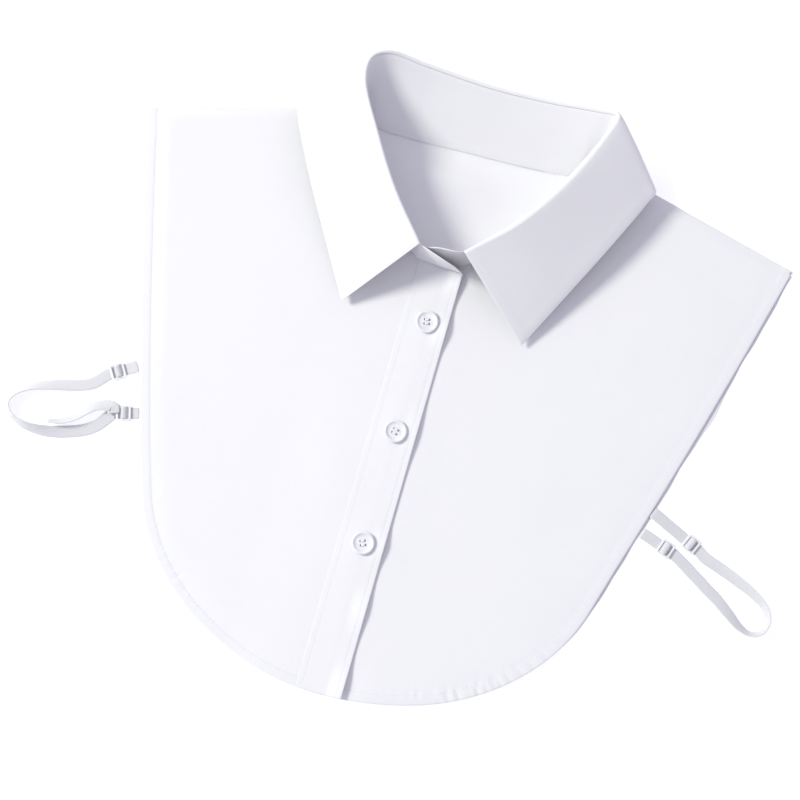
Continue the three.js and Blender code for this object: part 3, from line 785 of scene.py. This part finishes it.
# Smooth curve through points, with steps that follow the distance between them.
def curveThrough(points, t):
    points = np.array(points, dtype=float)
    before = 2 * points[0] - points[1]
    after = 2 * points[-1] - points[-2]
    padded = np.vstack([before, points, after])
    last = len(points) - 1
    segment = np.minimum(np.floor(t * last).astype(int), last - 1)
    w = (t * last - segment)[:, None]
    p0, p1, p2, p3 = (padded[segment + k] for k in range(4))
    d0, d1, d2 = (np.maximum(np.sqrt(np.linalg.norm(b - a, axis=1, keepdims=True)), 1e-4)
                  for a, b in ((p0, p1), (p1, p2), (p2, p3)))
    m1 = ((p1 - p0) / d0 - (p2 - p0) / (d0 + d1) + (p2 - p1) / d1) * d1
    m2 = ((p2 - p1) / d1 - (p3 - p1) / (d1 + d2) + (p3 - p2) / d2) * d1
    c2 = -3 * p1 + 3 * p2 - 2 * m1 - m2
    c3 = 2 * p1 - 2 * p2 + m1 + m2
    return p1 + m1 * w + c2 * w ** 2 + c3 * w ** 3


def collarFrame():
    fineT = np.linspace(0, 1, 3000)
    run = alongPath(curveThrough(sectionPoints("fold"), fineT))
    t = np.interp(np.linspace(0, run[-1], collar["along"]), run, fineT)
    place = t * (len(sections) - 1)
    i = np.minimum(np.floor(place).astype(int), len(sections) - 2)
    w = rise(place - i, 0, 1)
    rail = {key: curveThrough(sectionPoints(key), t) for key in ("seam", "fold", "edge")}
    rail["up"] = unit(rail["fold"] - rail["seam"])
    rail["out"] = unit(np.cross(rail["up"], unit(np.gradient(rail["fold"], axis=0))))
    for key in hangKeys:
        values = np.array([row[key] for row in sections])
        rail[key] = (values[i] * (1 - w) + values[i + 1] * w)[:, None]
    return rail


def bezier(a, b, c, d, t):
    return (a * (1 - t) ** 3 + 3 * b * t * (1 - t) ** 2 + 3 * c * t ** 2 * (1 - t) + d * t ** 3)


def leafShape(rail):
    radius, up, out, edge = rail["roll"], rail["up"], rail["out"], rail["edge"]
    centre = rail["fold"] - up * (radius + collar["thickness"] / 2)
    towards = unit(unit(edge - centre) * (1 - rail["flat"]) - up * rail["flat"])
    last = np.arctan2(np.sum(towards * out, axis=1), -np.sum(towards * up, axis=1))[:, None]
    last = np.clip(last, 0, math.radians(collar["steepest"]))
    columns = [centre - out * radius - up * collar["foldLead"]]
    for share in np.linspace(0, 1, collar["foldSteps"]):
        a = math.pi + (last - math.pi) * share
        columns.append(centre + out * radius * np.cos(a) + up * radius * np.sin(a))
    start = columns[-1]
    drop = collar["sideDrop"] + (collar["backDrop"] - collar["sideDrop"]) * rail["flat"]
    shoulder = start + towards * drop + out * rail["belly"]
    runIn = edge * (1 - collar["runIn"]) + shoulder * collar["runIn"]
    runIn[:, 2:] = runIn[:, 2:] * (1 - rail["flat"]) + edge[:, 2:] * rail["flat"]
    for t in np.linspace(0, 1, collar["across"] - len(columns) + 1)[1:]:
        t = t * (1.25 - 0.25 * t)
        columns.append(bezier(start, shoulder, runIn, edge, t))
    return np.stack(columns, axis=1)


def edgeDistances(grid):  # from the outer edge, and from the nearer front edge
    over = np.linalg.norm(np.diff(grid, axis=1), axis=2)
    fromOuter = np.concatenate([np.cumsum(over[:, ::-1], axis=1)[:, ::-1],
                                np.zeros((len(grid), 1))], axis=1)
    down = np.linalg.norm(np.diff(grid, axis=0), axis=2)
    run = np.concatenate([np.zeros((1, grid.shape[1])), np.cumsum(down, axis=0)])
    return fromOuter, np.minimum(run, run[-1] - run), run


rail = collarFrame()
# The leaf's turned edge and its stitching line, on the columns that show.
leafSeam = {"inset": 1.9, "width": 5.5, "height": 0.14, "grooveDepth": 0.13, "ripple": 0.45,
            "rippleWidth": 2.2, "rolls": 0.175, "rollLength": 23, "rollsFromOuter": (4, 18),
            "rollsFromFront": (4, 25), "shownColumns": (12, 18), "hemTone": 0.35, "seed": 21}


def dressLeaf(grid):
    fromOuter, fromFront, run = edgeDistances(grid)
    nearest = np.minimum(fromOuter, fromFront)
    normals = gridNormals(grid)
    normals *= np.sign(dot(normals[:, 6:7], rail["up"][:, None]))
    column = np.arange(grid.shape[1])
    visible = rise(column, *leafSeam["shownColumns"])[None]
    inset, width = leafSeam["inset"], leafSeam["width"]
    seam = leafSeam["height"] * (1 - rise(nearest, width - 1, width + 1))
    groove = -leafSeam["grooveDepth"] * hump(nearest, inset, 0.45)
    ripple = puckers(run, leafSeam["seed"]) * leafSeam["ripple"] * hump(
        nearest, inset, leafSeam["rippleWidth"])
    rolls = leafSeam["rolls"] * np.sin(run / leafSeam["rollLength"] + 0.8) * rise(
        fromOuter, *leafSeam["rollsFromOuter"]) * rise(fromFront, *leafSeam["rollsFromFront"])
    lift = (seam + groove + ripple + rolls) * visible
    turned = 1 - rise(nearest, width - 0.6, width + 0.8)
    # The groove mask darkens the colour along the leaf's stitching line: painted shade in the
    # seam.
    masks = {"hem": leafSeam["hemTone"] * turned * visible,
             "groove": hump(nearest, inset, 0.4) * visible}
    thickness = collar["thickness"] * (collar["rimShare"] + (1 - collar["rimShare"])
                                       * rise(nearest, 0, 5) * rise(column, -1, 5)[None])
    return grid + normals * lift[..., None], thickness[..., None], masks


leafGrid, leafThickness, leafMasks = dressLeaf(leafShape(rail))
collarLeaf = makeShell("collarLeaf", leafGrid, leafThickness, poplin, leafMasks)
print("collar leaf made")

# The ends of the stand, which overlap at the centre front.
endColumns = ("h", "seamY", "seamZ", "topY", "topZ")
overEnd = table(endColumns, (
    (0, -3.6, 4.6, -4.7, 28.0), (-7, -3.9, 5.35, -5.8, 22.5), (-11.4, -4.1, 6.3, -6.6, 14.5)))
underEnd = table(endColumns, (
    (4, -1.9, 3.05, 1.7, 29.5), (-4, -1.5, 3.4, 1.5, 28.5), (-11.4, -0.2, 3.7, 1.2, 23.0)))
# groove is the strength of the painted shade along the stand's foot.
stand = {"rows": 16, "endSteps": 26, "clear": 0.16, "groove": 0.7}


def between(feet, heads):  # columns of even steps from the seam to the head
    share = np.linspace(0, 1, stand["rows"])[None, :, None]
    return feet[:, None] * (1 - share) + heads[:, None] * share


def freeEnd(rows, side, foot, head):  # on from the last section, to the end of the band
    t = np.linspace(0, 1, stand["endSteps"])
    feet = [np.array([side * row["h"], row["seamY"], row["seamZ"]]) for row in rows]
    heads = [np.array([side * row["h"], row["topY"], row["topZ"]]) for row in rows]
    return between(curveThrough([foot, *feet], t)[1:], curveThrough([head, *heads], t)[1:])


def standShape(rail):
    up, out = rail["up"], rail["out"]
    foot = rail["seam"].copy()
    half = collar["standThickness"] * collar["rimShare"] / 2
    foot[:, 2] += half * np.sqrt(1 - up[:, 2] ** 2)
    below = rail["roll"] + collar["thickness"] * (0.5 + collar["rimShare"] / 2) + (
        collar["foldLead"] + half + stand["clear"])
    head = rail["fold"] - up * below - out * rail["roll"]
    share = np.linspace(0, 1, stand["rows"])[None, :, None]
    ring = between(foot, head) + out[:, None] * rail["sag"][:, None] * np.sin(
        math.pi * share ** 1.3)
    left = freeEnd(overEnd, -1, foot[0], head[0])[::-1]
    return np.concatenate([left, ring, freeEnd(underEnd, 1, foot[-1], head[-1])])


standGrid = standShape(rail)
standUp = np.linspace(0, 1, stand["rows"])[None] * np.ones((len(standGrid), 1))
standThickness = (collar["standThickness"] * (collar["rimShare"] + (1 - collar["rimShare"])
                                              * hump(standUp, 0.5, 0.38)))[..., None]
# The groove mask darkens the stand's foot along the neck seam and fades out to the right: painted
# shade where the stand meets the back.
collarStand = makeShell("collarStand", standGrid, standThickness, poplin,
                        {"groove": stand["groove"] * hump(standUp, 0.06, 0.03)
                         * (1 - rise(standGrid[..., 0], -30, 0))})
print("collar stand made")

buttonForm = {"lift": 4.4, "holeRadius": 0.7, "holeSpread": 1.7, "turns": 72, "sharpAngle": 50.0,
              "threadRadius": 0.24, "strandGap": 0.26, "strandZ": 1.50, "strandArch": 0.32,
              "strandBow": 0.08, "strandDive": 1.6}
buttonRows = table(("name", "tiltX", "tiltY", "turn"), (
    ("top", 2.2, 1.5, 8), ("middle", -1.6, 2.4, -14), ("bottom", 1.2, -1.8, 21)))
buttonProfile = ((0.0, 0.25), (3.6, 0.22), (5.2, 0.45), (6.05, 0.85), (6.42, 1.25), (6.5, 1.55),
                 (6.42, 1.85), (6.2, 2.08), (5.85, 2.2), (5.45, 2.18), (5.1, 2.02), (4.75, 1.75),
                 (4.35, 1.52), (3.8, 1.40), (3.2, 1.36), (1.6, 1.34), (0.0, 1.34))


def turnedSolid(name, profile, steps):
    form = bmesh.new()
    points = [form.verts.new((r, 0, z)) for r, z in profile]
    rim = [form.edges.new(pair) for pair in zip(points[:-1], points[1:])]
    bmesh.ops.spin(form, geom=points + rim, cent=(0, 0, 0), axis=(0, 0, 1), dvec=(0, 0, 0),
                   angle=2 * math.pi, steps=steps, use_merge=True)
    bmesh.ops.remove_doubles(form, verts=form.verts, dist=0.001)
    bmesh.ops.recalc_face_normals(form, faces=form.faces)
    return fromForm(name, form)


def applied(piece):  # the modifiers' result becomes the piece's own mesh
    graph = bpy.context.evaluated_depsgraph_get()
    mesh = bpy.data.meshes.new_from_object(piece.evaluated_get(graph))
    piece.modifiers.clear()
    old = piece.data
    piece.data = mesh
    bpy.data.meshes.remove(old)
    return piece


def cutFrom(piece, cutter):
    cut = piece.modifiers.new("cut", "BOOLEAN")
    cut.operation = "DIFFERENCE"
    cut.solver = "EXACT"
    cut.object = cutter
    return cutter


def makeButtonMesh():
    disc = turnedSolid("buttonDisc", buttonProfile, buttonForm["turns"])
    cutters = []
    radius, spread = buttonForm["holeRadius"], buttonForm["holeSpread"]
    for quarter in range(4):
        a = math.radians(45 + 90 * quarter)
        form = bmesh.new()
        bmesh.ops.create_cone(form, cap_ends=True, segments=20, radius1=radius, radius2=radius,
                              depth=6)
        bmesh.ops.translate(form, verts=form.verts,
                            vec=(spread * math.cos(a), spread * math.sin(a), 1))
        cutters.append(cutFrom(disc, fromForm("holeCutter", form)))
    applied(disc)
    for cutter in cutters:
        bpy.data.objects.remove(cutter)
    mesh = disc.data
    bpy.data.objects.remove(disc)
    return mesh


def rodAlong(form, points, radius, sides=8):
    points = np.asarray(points, dtype=float)
    tangent = unit(np.gradient(points, axis=0))
    first = unit(np.cross(tangent, [0.3, 0.2, 1.0]))
    second = np.cross(tangent, first)
    rings = []
    for p, a, b in zip(points, first, second):
        rings.append([form.verts.new(p + radius * (a * math.cos(k) + b * math.sin(k)))
                      for k in np.linspace(0, 2 * math.pi, sides, endpoint=False)])
    for lower, upper in zip(rings[:-1], rings[1:]):
        for k in range(sides):
            j = (k + 1) % sides
            form.faces.new((lower[k], lower[j], upper[j], upper[k]))
    form.faces.new(rings[0][::-1])
    form.faces.new(rings[-1])


def threadPaths():  # three strands across each pair of holes
    paths = []
    spread, gap = buttonForm["holeSpread"] * math.sqrt(0.5), buttonForm["strandGap"]
    for row in (-spread, spread):
        for strand in (-gap, 0.0, gap):
            t = np.linspace(0, 1, 13)
            x = (t * 2 - 1) * spread
            z = buttonForm["strandZ"] + buttonForm["strandArch"] * np.sin(math.pi * t) ** 0.6
            z = z - buttonForm["strandDive"] * (np.abs(2 * t - 1) > 0.99)
            bow = buttonForm["strandBow"] * np.sin(math.pi * t + strand * 5)
            paths.append(np.stack([x, row + strand + bow, z], 1))
    return paths


def rotation(degrees, axis):
    return Matrix.Rotation(math.radians(degrees), 4, axis)


def makeButtons():
    base = makeButtonMesh()
    threads = bmesh.new()
    for i, row in enumerate(buttonRows):
        y = buttonY(i)
        centre = np.array([closing["buttonX"] + y * closing["lean"], y, buttonForm["lift"]])
        tilt = rotation(row["tiltX"], "X") @ rotation(row["tiltY"], "Y")
        turn = rotation(row["turn"], "Z")
        mesh = base.copy()
        mesh.transform(Matrix.Translation(Vector(inFrame(centre))) @ Matrix.Scale(0.001, 4)
                       @ tilt @ turn)
        mesh.materials.append(pearl)
        mesh.shade_smooth()
        mesh.set_sharp_from_angle(angle=math.radians(buttonForm["sharpAngle"]))
        joinFrame(linked(f"shirtButton.{row['name']}", mesh), f"button_{row['name']}")
        move = tilt @ turn
        for path in threadPaths():
            strand = np.array([move @ Vector(point) for point in path]) + centre
            rodAlong(threads, inFrame(strand), buttonForm["threadRadius"] / 1000)
    piece = fromForm("buttonThread", threads)
    piece.data.materials.append(thread)
    piece.data.shade_smooth()
    joinFrame(piece)


makeButtons()
print("buttons made")

# Elastic straps, with their tabs and slides. The rows are x, y, lean and lift of each bend.
strapForm = {"width": 6.8, "thickness": 0.8, "slideWidth": 9.4, "slideLength": 8.4,
             "slideThickness": 1.2, "slideRound": 1.4, "slideSoft": 0.34, "bar": 1.3,
             "slideLift": 0.93, "slideReach": 1.2, "gap": 0.3, "steps": 220, "tailSteps": 90,
             "tabSteps": 60}
straps = {
    "strapRight": {"node": "strap_right", "start": "right_front", "end": "right_back", "rows": (
        (184.5, -124.0, 6, 0), (196.2, -128.4, 18, 0), (207.6, -133.1, 38, 0),
        (216.8, -137.8, 55, 0), (224.0, -143.3, 68, 0), (227.0, -149.8, 76, 0),
        (224.9, -156.2, 74, 0), (219.1, -158.9, 62, 0), (212.2, -156.7, 42, 0),
        (204.8, -151.2, 20, 0), (197.6, -145.7, 8, 0), (187.9, -139.6, 0, 0),
        (176.6, -132.4, 0, 0))},
    "strapLeft": {"node": "strap_left", "start": "left_front", "end": "left_back", "rows": (
        (-172.0, -118.9, 6, 0), (-179.5, -122.6, 12, 0), (-188.6, -125.0, 20, 0),
        (-197.4, -127.5, 34, 0), (-205.3, -130.8, 50, 0), (-211.6, -135.6, 66, 0),
        (-214.9, -141.6, 76, 0), (-212.4, -148.0, 74, 0), (-205.0, -151.9, 62, 0),
        (-196.7, -152.8, 42, 0), (-189.4, -152.2, 22, 0), (-181.0, -150.2, 8, 0),
        (-172.4, -147.2, 2, 0), (-164.4, -142.2, 0, 0))},
    "strapLeftTail": {"node": "strap_left_tail", "start": "left_back", "lift": 2.4, "rows": (
        (-158.0, -129.6, 8, 2.1), (-163.0, -129.9, 24, 0.9), (-168.4, -132.4, 38, 0.1),
        (-173.2, -137.2, 46, 0), (-178.0, -141.8, 52, 0), (-184.0, -145.0, 58, 0),
        (-190.5, -146.6, 62, 0))},
}
tabColumns = ("side", "hemY", "slideX", "slideY", "level", "clear")
tabs = {name: dict(zip(tabColumns, row)) for name, row in {
    "left_front": (-1, -102.2, -161.1, -109.4, 1.5, 0.5),
    "left_back": (-1, -128.6, -151.5, -131.2, 0, 0.55),
    "right_front": (1, -107.4, 175.3, -118.8, 1.5, -0.2),
    "right_back": (1, -119.6, 162.1, -125.0, 0, 1.5),
}.items()}


def sideH(y):
    h = np.linspace(bib["hemJoinH"], bib["tipH"], 2000)
    return float(np.interp(y, hemLine(h), h))


def hemPoint(side, y):
    return onBib(side, np.array(sideH(y)), np.array(float(y)))


def tabLine(tab):  # from just clear of the hem to the middle of the slide
    start = hemPoint(tab["side"], tab["hemY"])
    edge = unit(hemPoint(tab["side"], tab["hemY"] + 2) - hemPoint(tab["side"], tab["hemY"] - 2))
    slide = np.array([tab["slideX"], tab["slideY"]])
    heading = unit(slide - start)
    slant = abs(heading[0] * edge[1] - heading[1] * edge[0])
    clear = (strapForm["gap"] + strapForm["width"] / 2 * abs(heading @ edge)) / slant
    return start + heading * clear, slide, heading


def evened(values, reach):  # averages over a few steps each way
    width = 2 * reach + 1
    return np.convolve(np.pad(values, reach, mode="edge"), np.ones(width) / width, "valid")


# Elastic band through rows of x, y, lean and height. Lean 0 is flat and 90 is on its edge.
def makeBand(name, rows, steps, columns=9):
    bends = np.array(rows, dtype=float)
    t = np.linspace(0, 1, steps)
    centre = curveThrough(np.column_stack([bends[:, :2], 0 * bends[:, 0]]), t)
    place, numbers = t * (len(bends) - 1), np.arange(len(bends))
    lean = evened(np.radians(np.interp(place, numbers, bends[:, 2])), 6)
    lift = evened(np.interp(place, numbers, bends[:, 3]), 3)
    tangent = unit(np.gradient(centre, axis=0))
    side = np.stack([-tangent[:, 1] * np.cos(lean), tangent[:, 0] * np.cos(lean),
                     np.sin(lean)], 1)
    half, width = strapForm["thickness"] / 2, strapForm["width"]
    centre[:, 2] = width / 2 * np.sin(lean) + half * np.cos(lean) + lift + 0.05
    shares = np.linspace(-0.5, 0.5, columns)
    grid = centre[:, None] + side[:, None] * shares[None, :, None] * (width
                                                                      - strapForm["thickness"])
    run = alongPath(centre)
    wave = 0.12 * np.sin(run / 2.1)[:, None] * (np.abs(shares) * 2)[None] ** 4
    grid = grid + side[:, None] * wave[..., None] * 0.3
    uv = np.stack([np.broadcast_to(shares * width / 1000, grid.shape[:2]),
                   np.broadcast_to(run[:, None] / 1000, grid.shape[:2])], 2)
    return makeShell(name, grid, strapForm["thickness"], elastic, uv=uv)


def throughSlide(tab, fromTab, lift):  # the way a band takes over the slide's bars
    slide, heading = tabLine(tab)[1:]
    half, out = strapForm["slideLength"] / 2, strapForm["slideReach"]
    top = strapForm["slideLift"] + strapForm["slideThickness"]
    if fromTab:
        reach = ((-half - out, 0.0), (-half + 0.9, 0.0), (-half + 2.0, 0.5), (-out, top),
                 (0.0, top + 0.35), (1.0, top + 0.1))
    else:
        reach = ((0.6, 0.0), (half - 1.6, 0.0), (half, 0.0), (half + out, 0.0))
    return [(*(slide + heading * along), 0, lift + height) for along, height in reach]


def makeSlide(name, tab):
    slide, heading = tabLine(tab)[1:]
    width, length, bar = strapForm["slideWidth"], strapForm["slideLength"], strapForm["bar"]
    thickness = strapForm["slideThickness"]
    base = bmesh.new()
    bmesh.ops.create_cube(base, size=1)
    bmesh.ops.scale(base, vec=(length, width, thickness), verts=base.verts)
    corners = [edge for edge in base.edges
               if abs(edge.verts[0].co.z - edge.verts[1].co.z) > thickness / 2]
    bmesh.ops.bevel(base, geom=corners, offset=strapForm["slideRound"], segments=5,
                    affect="EDGES", profile=0.5)
    piece = fromForm(name, base)
    slot = bmesh.new()
    for side in (-1, 1):
        made = bmesh.ops.create_cube(slot, size=1)["verts"]
        bmesh.ops.scale(slot, vec=(length / 2 - 1.5 * bar, width - 2 * bar, 5), verts=made)
        bmesh.ops.translate(slot, vec=(side * (length / 4 - bar / 4), 0, 0), verts=made)
    cutter = cutFrom(piece, fromForm("slotCutter", slot))
    soften = piece.modifiers.new("soften", "BEVEL")
    soften.width = strapForm["slideSoft"]
    soften.segments = 3
    soften.limit_method = "ANGLE"
    soften.angle_limit = math.radians(40)
    applied(piece)
    bpy.data.objects.remove(cutter)
    height = strapForm["slideLift"] + thickness / 2
    place = Matrix.Translation(Vector(inFrame((slide[0], slide[1], height))))
    turn = Matrix.Rotation(math.atan2(heading[1], heading[0]), 4, "Z")
    piece.data.transform(place @ turn @ Matrix.Scale(0.001, 4))
    piece.data.materials.append(moulded)
    piece.data.shade_smooth()
    return piece


def makeStraps():
    for name, tab in tabs.items():
        start, slide, heading = tabLine(tab)
        away = np.linalg.norm(slide - start)
        lead = strapForm["slideLength"] / 2 + strapForm["slideReach"]
        rows = [(*(start + heading * tab["clear"]), 0, tab["level"] * 0.75)]
        if away > lead + 1.5:
            middle = start + heading * (away - lead) / 2
            rows.append((*middle, 0, tab["level"] * 0.4))
        rows += throughSlide(tab, True, 0.0)
        joinFrame(makeBand(f"tab.{name}", rows, strapForm["tabSteps"]), f"tab_{name}")
        joinFrame(makeSlide(f"slide.{name}", tab), f"slide_{name}")
    for name, strap in straps.items():
        lift = strap.get("lift", 0.0)
        rows = throughSlide(tabs[strap["start"]], False, lift) + list(strap["rows"])
        if "end" in strap:
            rows += throughSlide(tabs[strap["end"]], False, lift)[::-1]
        if lift:  # the tail starts past the slide's bars
            rows = rows[3:]
        steps = strapForm["steps" if "end" in strap else "tailSteps"]
        joinFrame(makeBand(name, rows, steps), strap["node"])


makeStraps()
print("straps made")

stitchForm = {"length": 1.9, "pitch": 2.5, "radius": 0.17, "lift": 0.02, "unevenness": 0.12,
              "seed": 4}


def stitchTree():
    tree = bpy.data.node_groups.new("rowOfStitches", "GeometryNodeTree")
    face = tree.interface
    face.new_socket(name="Line", in_out="INPUT", socket_type="NodeSocketGeometry")
    for name, value in (("Stitch Length", stitchForm["length"] / 1000),
                        ("Stitch Pitch", stitchForm["pitch"] / 1000),
                        ("Thread Radius", stitchForm["radius"] / 1000),
                        ("Unevenness", stitchForm["unevenness"])):
        socket = face.new_socket(name=name, in_out="INPUT", socket_type="NodeSocketFloat")
        socket.default_value = value
    seed = face.new_socket(name="Seed", in_out="INPUT", socket_type="NodeSocketInt")
    seed.default_value = stitchForm["seed"]
    face.new_socket(name="Thread", in_out="INPUT", socket_type="NodeSocketMaterial")
    face.new_socket(name="Stitches", in_out="OUTPUT", socket_type="NodeSocketGeometry")

    def node(kind, settings=None, links=None):
        made = tree.nodes.new(kind)
        for key, value in (settings or {}).items():
            setattr(made, key, value)
        for key, source in (links or {}).items():
            if isinstance(source, bpy.types.NodeSocket):
                tree.links.new(source, made.inputs[key])
            else:
                made.inputs[key].default_value = source
        return made.outputs

    given = node("NodeGroupInput")
    line = node("GeometryNodeMeshToCurve", links={"Mesh": given["Line"]})
    spots = node("GeometryNodeCurveToPoints", {"mode": "LENGTH"},
                 {"Curve": line["Curve"], "Length": given["Stitch Pitch"]})
    turn = node("FunctionNodeAlignRotationToVector", {"axis": "X"},
                {"Vector": spots["Tangent"]})
    half = node("ShaderNodeMath", {"operation": "MULTIPLY"}, {0: given["Stitch Length"], 1: 0.5})
    low = node("ShaderNodeMath", {"operation": "SUBTRACT"}, {0: 1.0, 1: given["Unevenness"]})
    vary = node("FunctionNodeRandomValue", {"data_type": "FLOAT"},
                {"Seed": given["Seed"], 2: low[0], 3: 1.0})
    longer = node("ShaderNodeMath", {"operation": "MULTIPLY"},
                  {0: half[0], 1: vary[1]})
    size = node("ShaderNodeCombineXYZ", links={"X": longer[0],
                                               "Y": given["Thread Radius"],
                                               "Z": given["Thread Radius"]})
    bead = node("GeometryNodeMeshUVSphere", links={"Segments": 6, "Rings": 5, "Radius": 1.0})
    placed = node("GeometryNodeInstanceOnPoints",
                  links={"Points": spots["Points"], "Instance": bead["Mesh"],
                         "Rotation": turn["Rotation"], "Scale": size["Vector"]})
    real = node("GeometryNodeRealizeInstances", links={"Geometry": placed["Instances"]})
    smooth = node("GeometryNodeSetShadeSmooth", links={"Geometry": real["Geometry"]})
    dyed = node("GeometryNodeSetMaterial", links={"Geometry": smooth["Geometry"],
                                                  "Material": given["Thread"]})
    node("NodeGroupOutput", links={"Stitches": dyed["Geometry"]})
    return tree


stitching = stitchTree()


def makeStitches(name, lines, **changes):  # changes to the form, in millimetres
    form = {**stitchForm, **changes}
    vertices, edges = [], []
    for line in lines:
        first = len(vertices)
        vertices += [tuple(p) for p in inFrame(line)]
        edges += [(k, k + 1) for k in range(first, len(vertices) - 1)]
    mesh = bpy.data.meshes.new(name)
    mesh.from_pydata(vertices, edges, [])
    piece = linked(name, mesh)
    rows = piece.modifiers.new("stitches", "NODES")
    rows.node_group = stitching
    sockets = {s.name: s.identifier for s in stitching.interface.items_tree
               if s.in_out == "INPUT"}
    rows[sockets["Stitch Length"]] = form["length"] / 1000
    rows[sockets["Stitch Pitch"]] = form["pitch"] / 1000
    rows[sockets["Thread Radius"]] = form["radius"] / 1000
    rows[sockets["Thread"]] = thread
    applied(piece)
    joinFrame(piece)


def outsideOf(grid, thickness, upward):  # the face of a shell that shows
    normals = gridNormals(grid)
    normals *= np.sign(dot(normals, upward) + 1e-9)
    return grid + normals * (thickness / 2 + stitchForm["lift"])


def crossing(points, i, share):  # a place between a point and the one before it
    return points[i - 1] * (1 - share) + points[i] * share


skyward = np.array([0, 0, 1.0])


def hemStitchLine(grid, fromHem):  # an even distance inside the hem, as far as the cloth goes
    face = outsideOf(grid, bib["thickness"], skyward)
    inset = bib["hemWidth"] - hemForm["seamIn"]
    line = []
    for i in range(2, len(face) - 2):
        if fromHem[i, -1] < inset + 1.5:
            break
        k = int(np.argmax(fromHem[i] >= inset))
        w = (inset - fromHem[i, k - 1]) / (fromHem[i, k] - fromHem[i, k - 1])
        line.append(crossing(face[i], k, w))
    return np.array(line)


makeStitches("hemStitches", [hemStitchLine(rightGrid, rightFromHem),
                             hemStitchLine(leftGrid, leftFromHem)])


def placketLines():
    columns = outsideOf(placketGrid, placketThickness, skyward).transpose(1, 0, 2)
    h = placketH()
    lines = []
    for spot in (h[0] + placket["stitchInset"], h[-1] - placket["stitchInset"]):
        k = int(np.searchsorted(h, spot))
        lines.append(crossing(columns, k, (spot - h[k - 1]) / (h[k] - h[k - 1]))[2:-2])
    return lines


makeStitches("placketStitches", placketLines(), radius=0.13)


# Line at an even distance inside the leaf's front and outer edges.
def leafLine():
    face = outsideOf(leafGrid, leafThickness, rail["out"][:, None])
    fromOuter, fromFront = edgeDistances(leafGrid)[:2]
    inset = leafSeam["inset"]
    outer = []
    for i in range(len(face)):
        if fromFront[i, -1] < inset:
            continue
        k = int(np.argmax(fromOuter[i] < inset))
        w = (fromOuter[i, k - 1] - inset) / (fromOuter[i, k - 1] - fromOuter[i, k])
        outer.append(crossing(face[i], k, w))

    def frontLine(order):  # along one front edge, whose rows are given from it inwards
        line = []
        for j in range(collar["foldSteps"] + 2, face.shape[1]):
            if fromOuter[order[0], j] < inset:
                continue
            rows = fromFront[order, j]
            k = int(np.argmax(rows > inset))
            w = (inset - rows[k - 1]) / (rows[k] - rows[k - 1])
            line.append(crossing(face[order, j], k, w))
        return line

    forward, backward = np.arange(12), np.arange(len(face) - 1, len(face) - 13, -1)
    return np.array(frontLine(forward) + outer + frontLine(backward)[::-1])


makeStitches("collarStitches", [leafLine()], pitch=2.3, length=1.7)
neckMiddle = np.array([0, 20.0, 0])
standFace = outsideOf(standGrid, standThickness, neckMiddle - standGrid)
makeStitches("standStitches", [standFace[:, 1][40:-40]])

# The buttonholes lie along the placket, under the buttons.
buttonhole = {"length": 15.6, "slit": 0.25, "reach": 1.0, "step": 0.45, "below": 0.1}


def buttonholeLines():  # short threads across, on both sides of each slit
    lines = []
    half, slit = buttonhole["length"] / 2, buttonhole["slit"]
    z = placket["z"] + placket["thickness"] / 2 - buttonhole["below"]
    for i in range(3):
        for side in (-1, 1):
            for y in np.arange(buttonY(i) - half, buttonY(i) + half, buttonhole["step"]):
                x = closing["buttonX"] + y * closing["lean"]
                lines.append(np.array([[x + side * slit, y, z],
                                       [x + side * (slit + buttonhole["reach"]), y, z]]))
    return lines


makeStitches("buttonholes", buttonholeLines(), length=1.1, pitch=5.0, radius=0.2)
print("stitches made")

# Each sheet of cloth: its node, flat size and area in metres, and what it lies on.
sheets = (
    (bibBack, "back_panel", (0.3815, 0.3314), 0.0929, "laid", ["floor"]),
    (bibRight, "front_right", (0.2095, 0.3314), 0.0471, "laid", ["bibBack"]),
    (bibLeft, "front_left", (0.1984, 0.3313), 0.0448, "laid", ["bibBack", "bibRight"]),
    (placketBand, "placket", (0.026, 0.2533), 0.0065, "laid", ["bibLeft"]),
    (collarStand, "collar_stand", (0.432, 0.046), 0.0128, "folded", ["bibBack"]),
    (collarLeaf, "collar_leaf", (0.457, 0.065), 0.0192, "folded", ["collarStand"]),
)

# Floor and lamp sizes are in metres, angles in degrees and power in watts.
studio = {"floorSize": 6.0, "floorDrop": 0.0002, "lightDistance": 3.2, "lightSize": 0.95,
          "elevation": 39.0, "heading": 20.0, "power": 91.2, "lightColour": (0.975, 1.0, 0.885),
          "skyColour": (0.885, 0.872, 1.0), "skyStrength": 0.72}


def makeFloor():
    half, low = studio["floorSize"] / 2, -studio["floorDrop"]
    floor = makePiece("floor", [(-half, -half, low), (half, -half, low), (half, half, low),
                                (-half, half, low)], [(0, 1, 2, 3)], paper)


def makeLight():
    right, up = imageAxes()[:2]
    heading = math.radians(studio["heading"])
    across = -right * math.cos(heading) + up * math.sin(heading)
    across.z = 0
    across.normalize()
    elevation = math.radians(studio["elevation"])
    towards = across * math.cos(elevation) + Vector((0, 0, math.sin(elevation)))
    lamp = bpy.data.lights.new("softbox", "AREA")
    lamp.shape = "DISK"
    lamp.size = studio["lightSize"]
    lamp.energy = studio["power"]
    lamp.color = studio["lightColour"]
    light = linked("softbox", lamp)
    target = Vector(inFrame(view["target"]))
    light.matrix_world = Matrix.Translation(target + towards * studio["lightDistance"]) @ (
        towards.to_track_quat("Z", "Y").to_matrix().to_4x4())
    world = bpy.data.worlds.new("studio")
    world.use_nodes = True
    sky = world.node_tree.nodes["Background"]
    sky.inputs["Color"].default_value = (*studio["skyColour"], 1)
    sky.inputs["Strength"].default_value = studio["skyStrength"]
    scene.world = world
    scene.view_settings.view_transform = "Standard"


makeFloor()
makeLight()
for piece, node, flat, area, held, under in sheets:
    joinFrame(piece, node)
print("floor and light made")
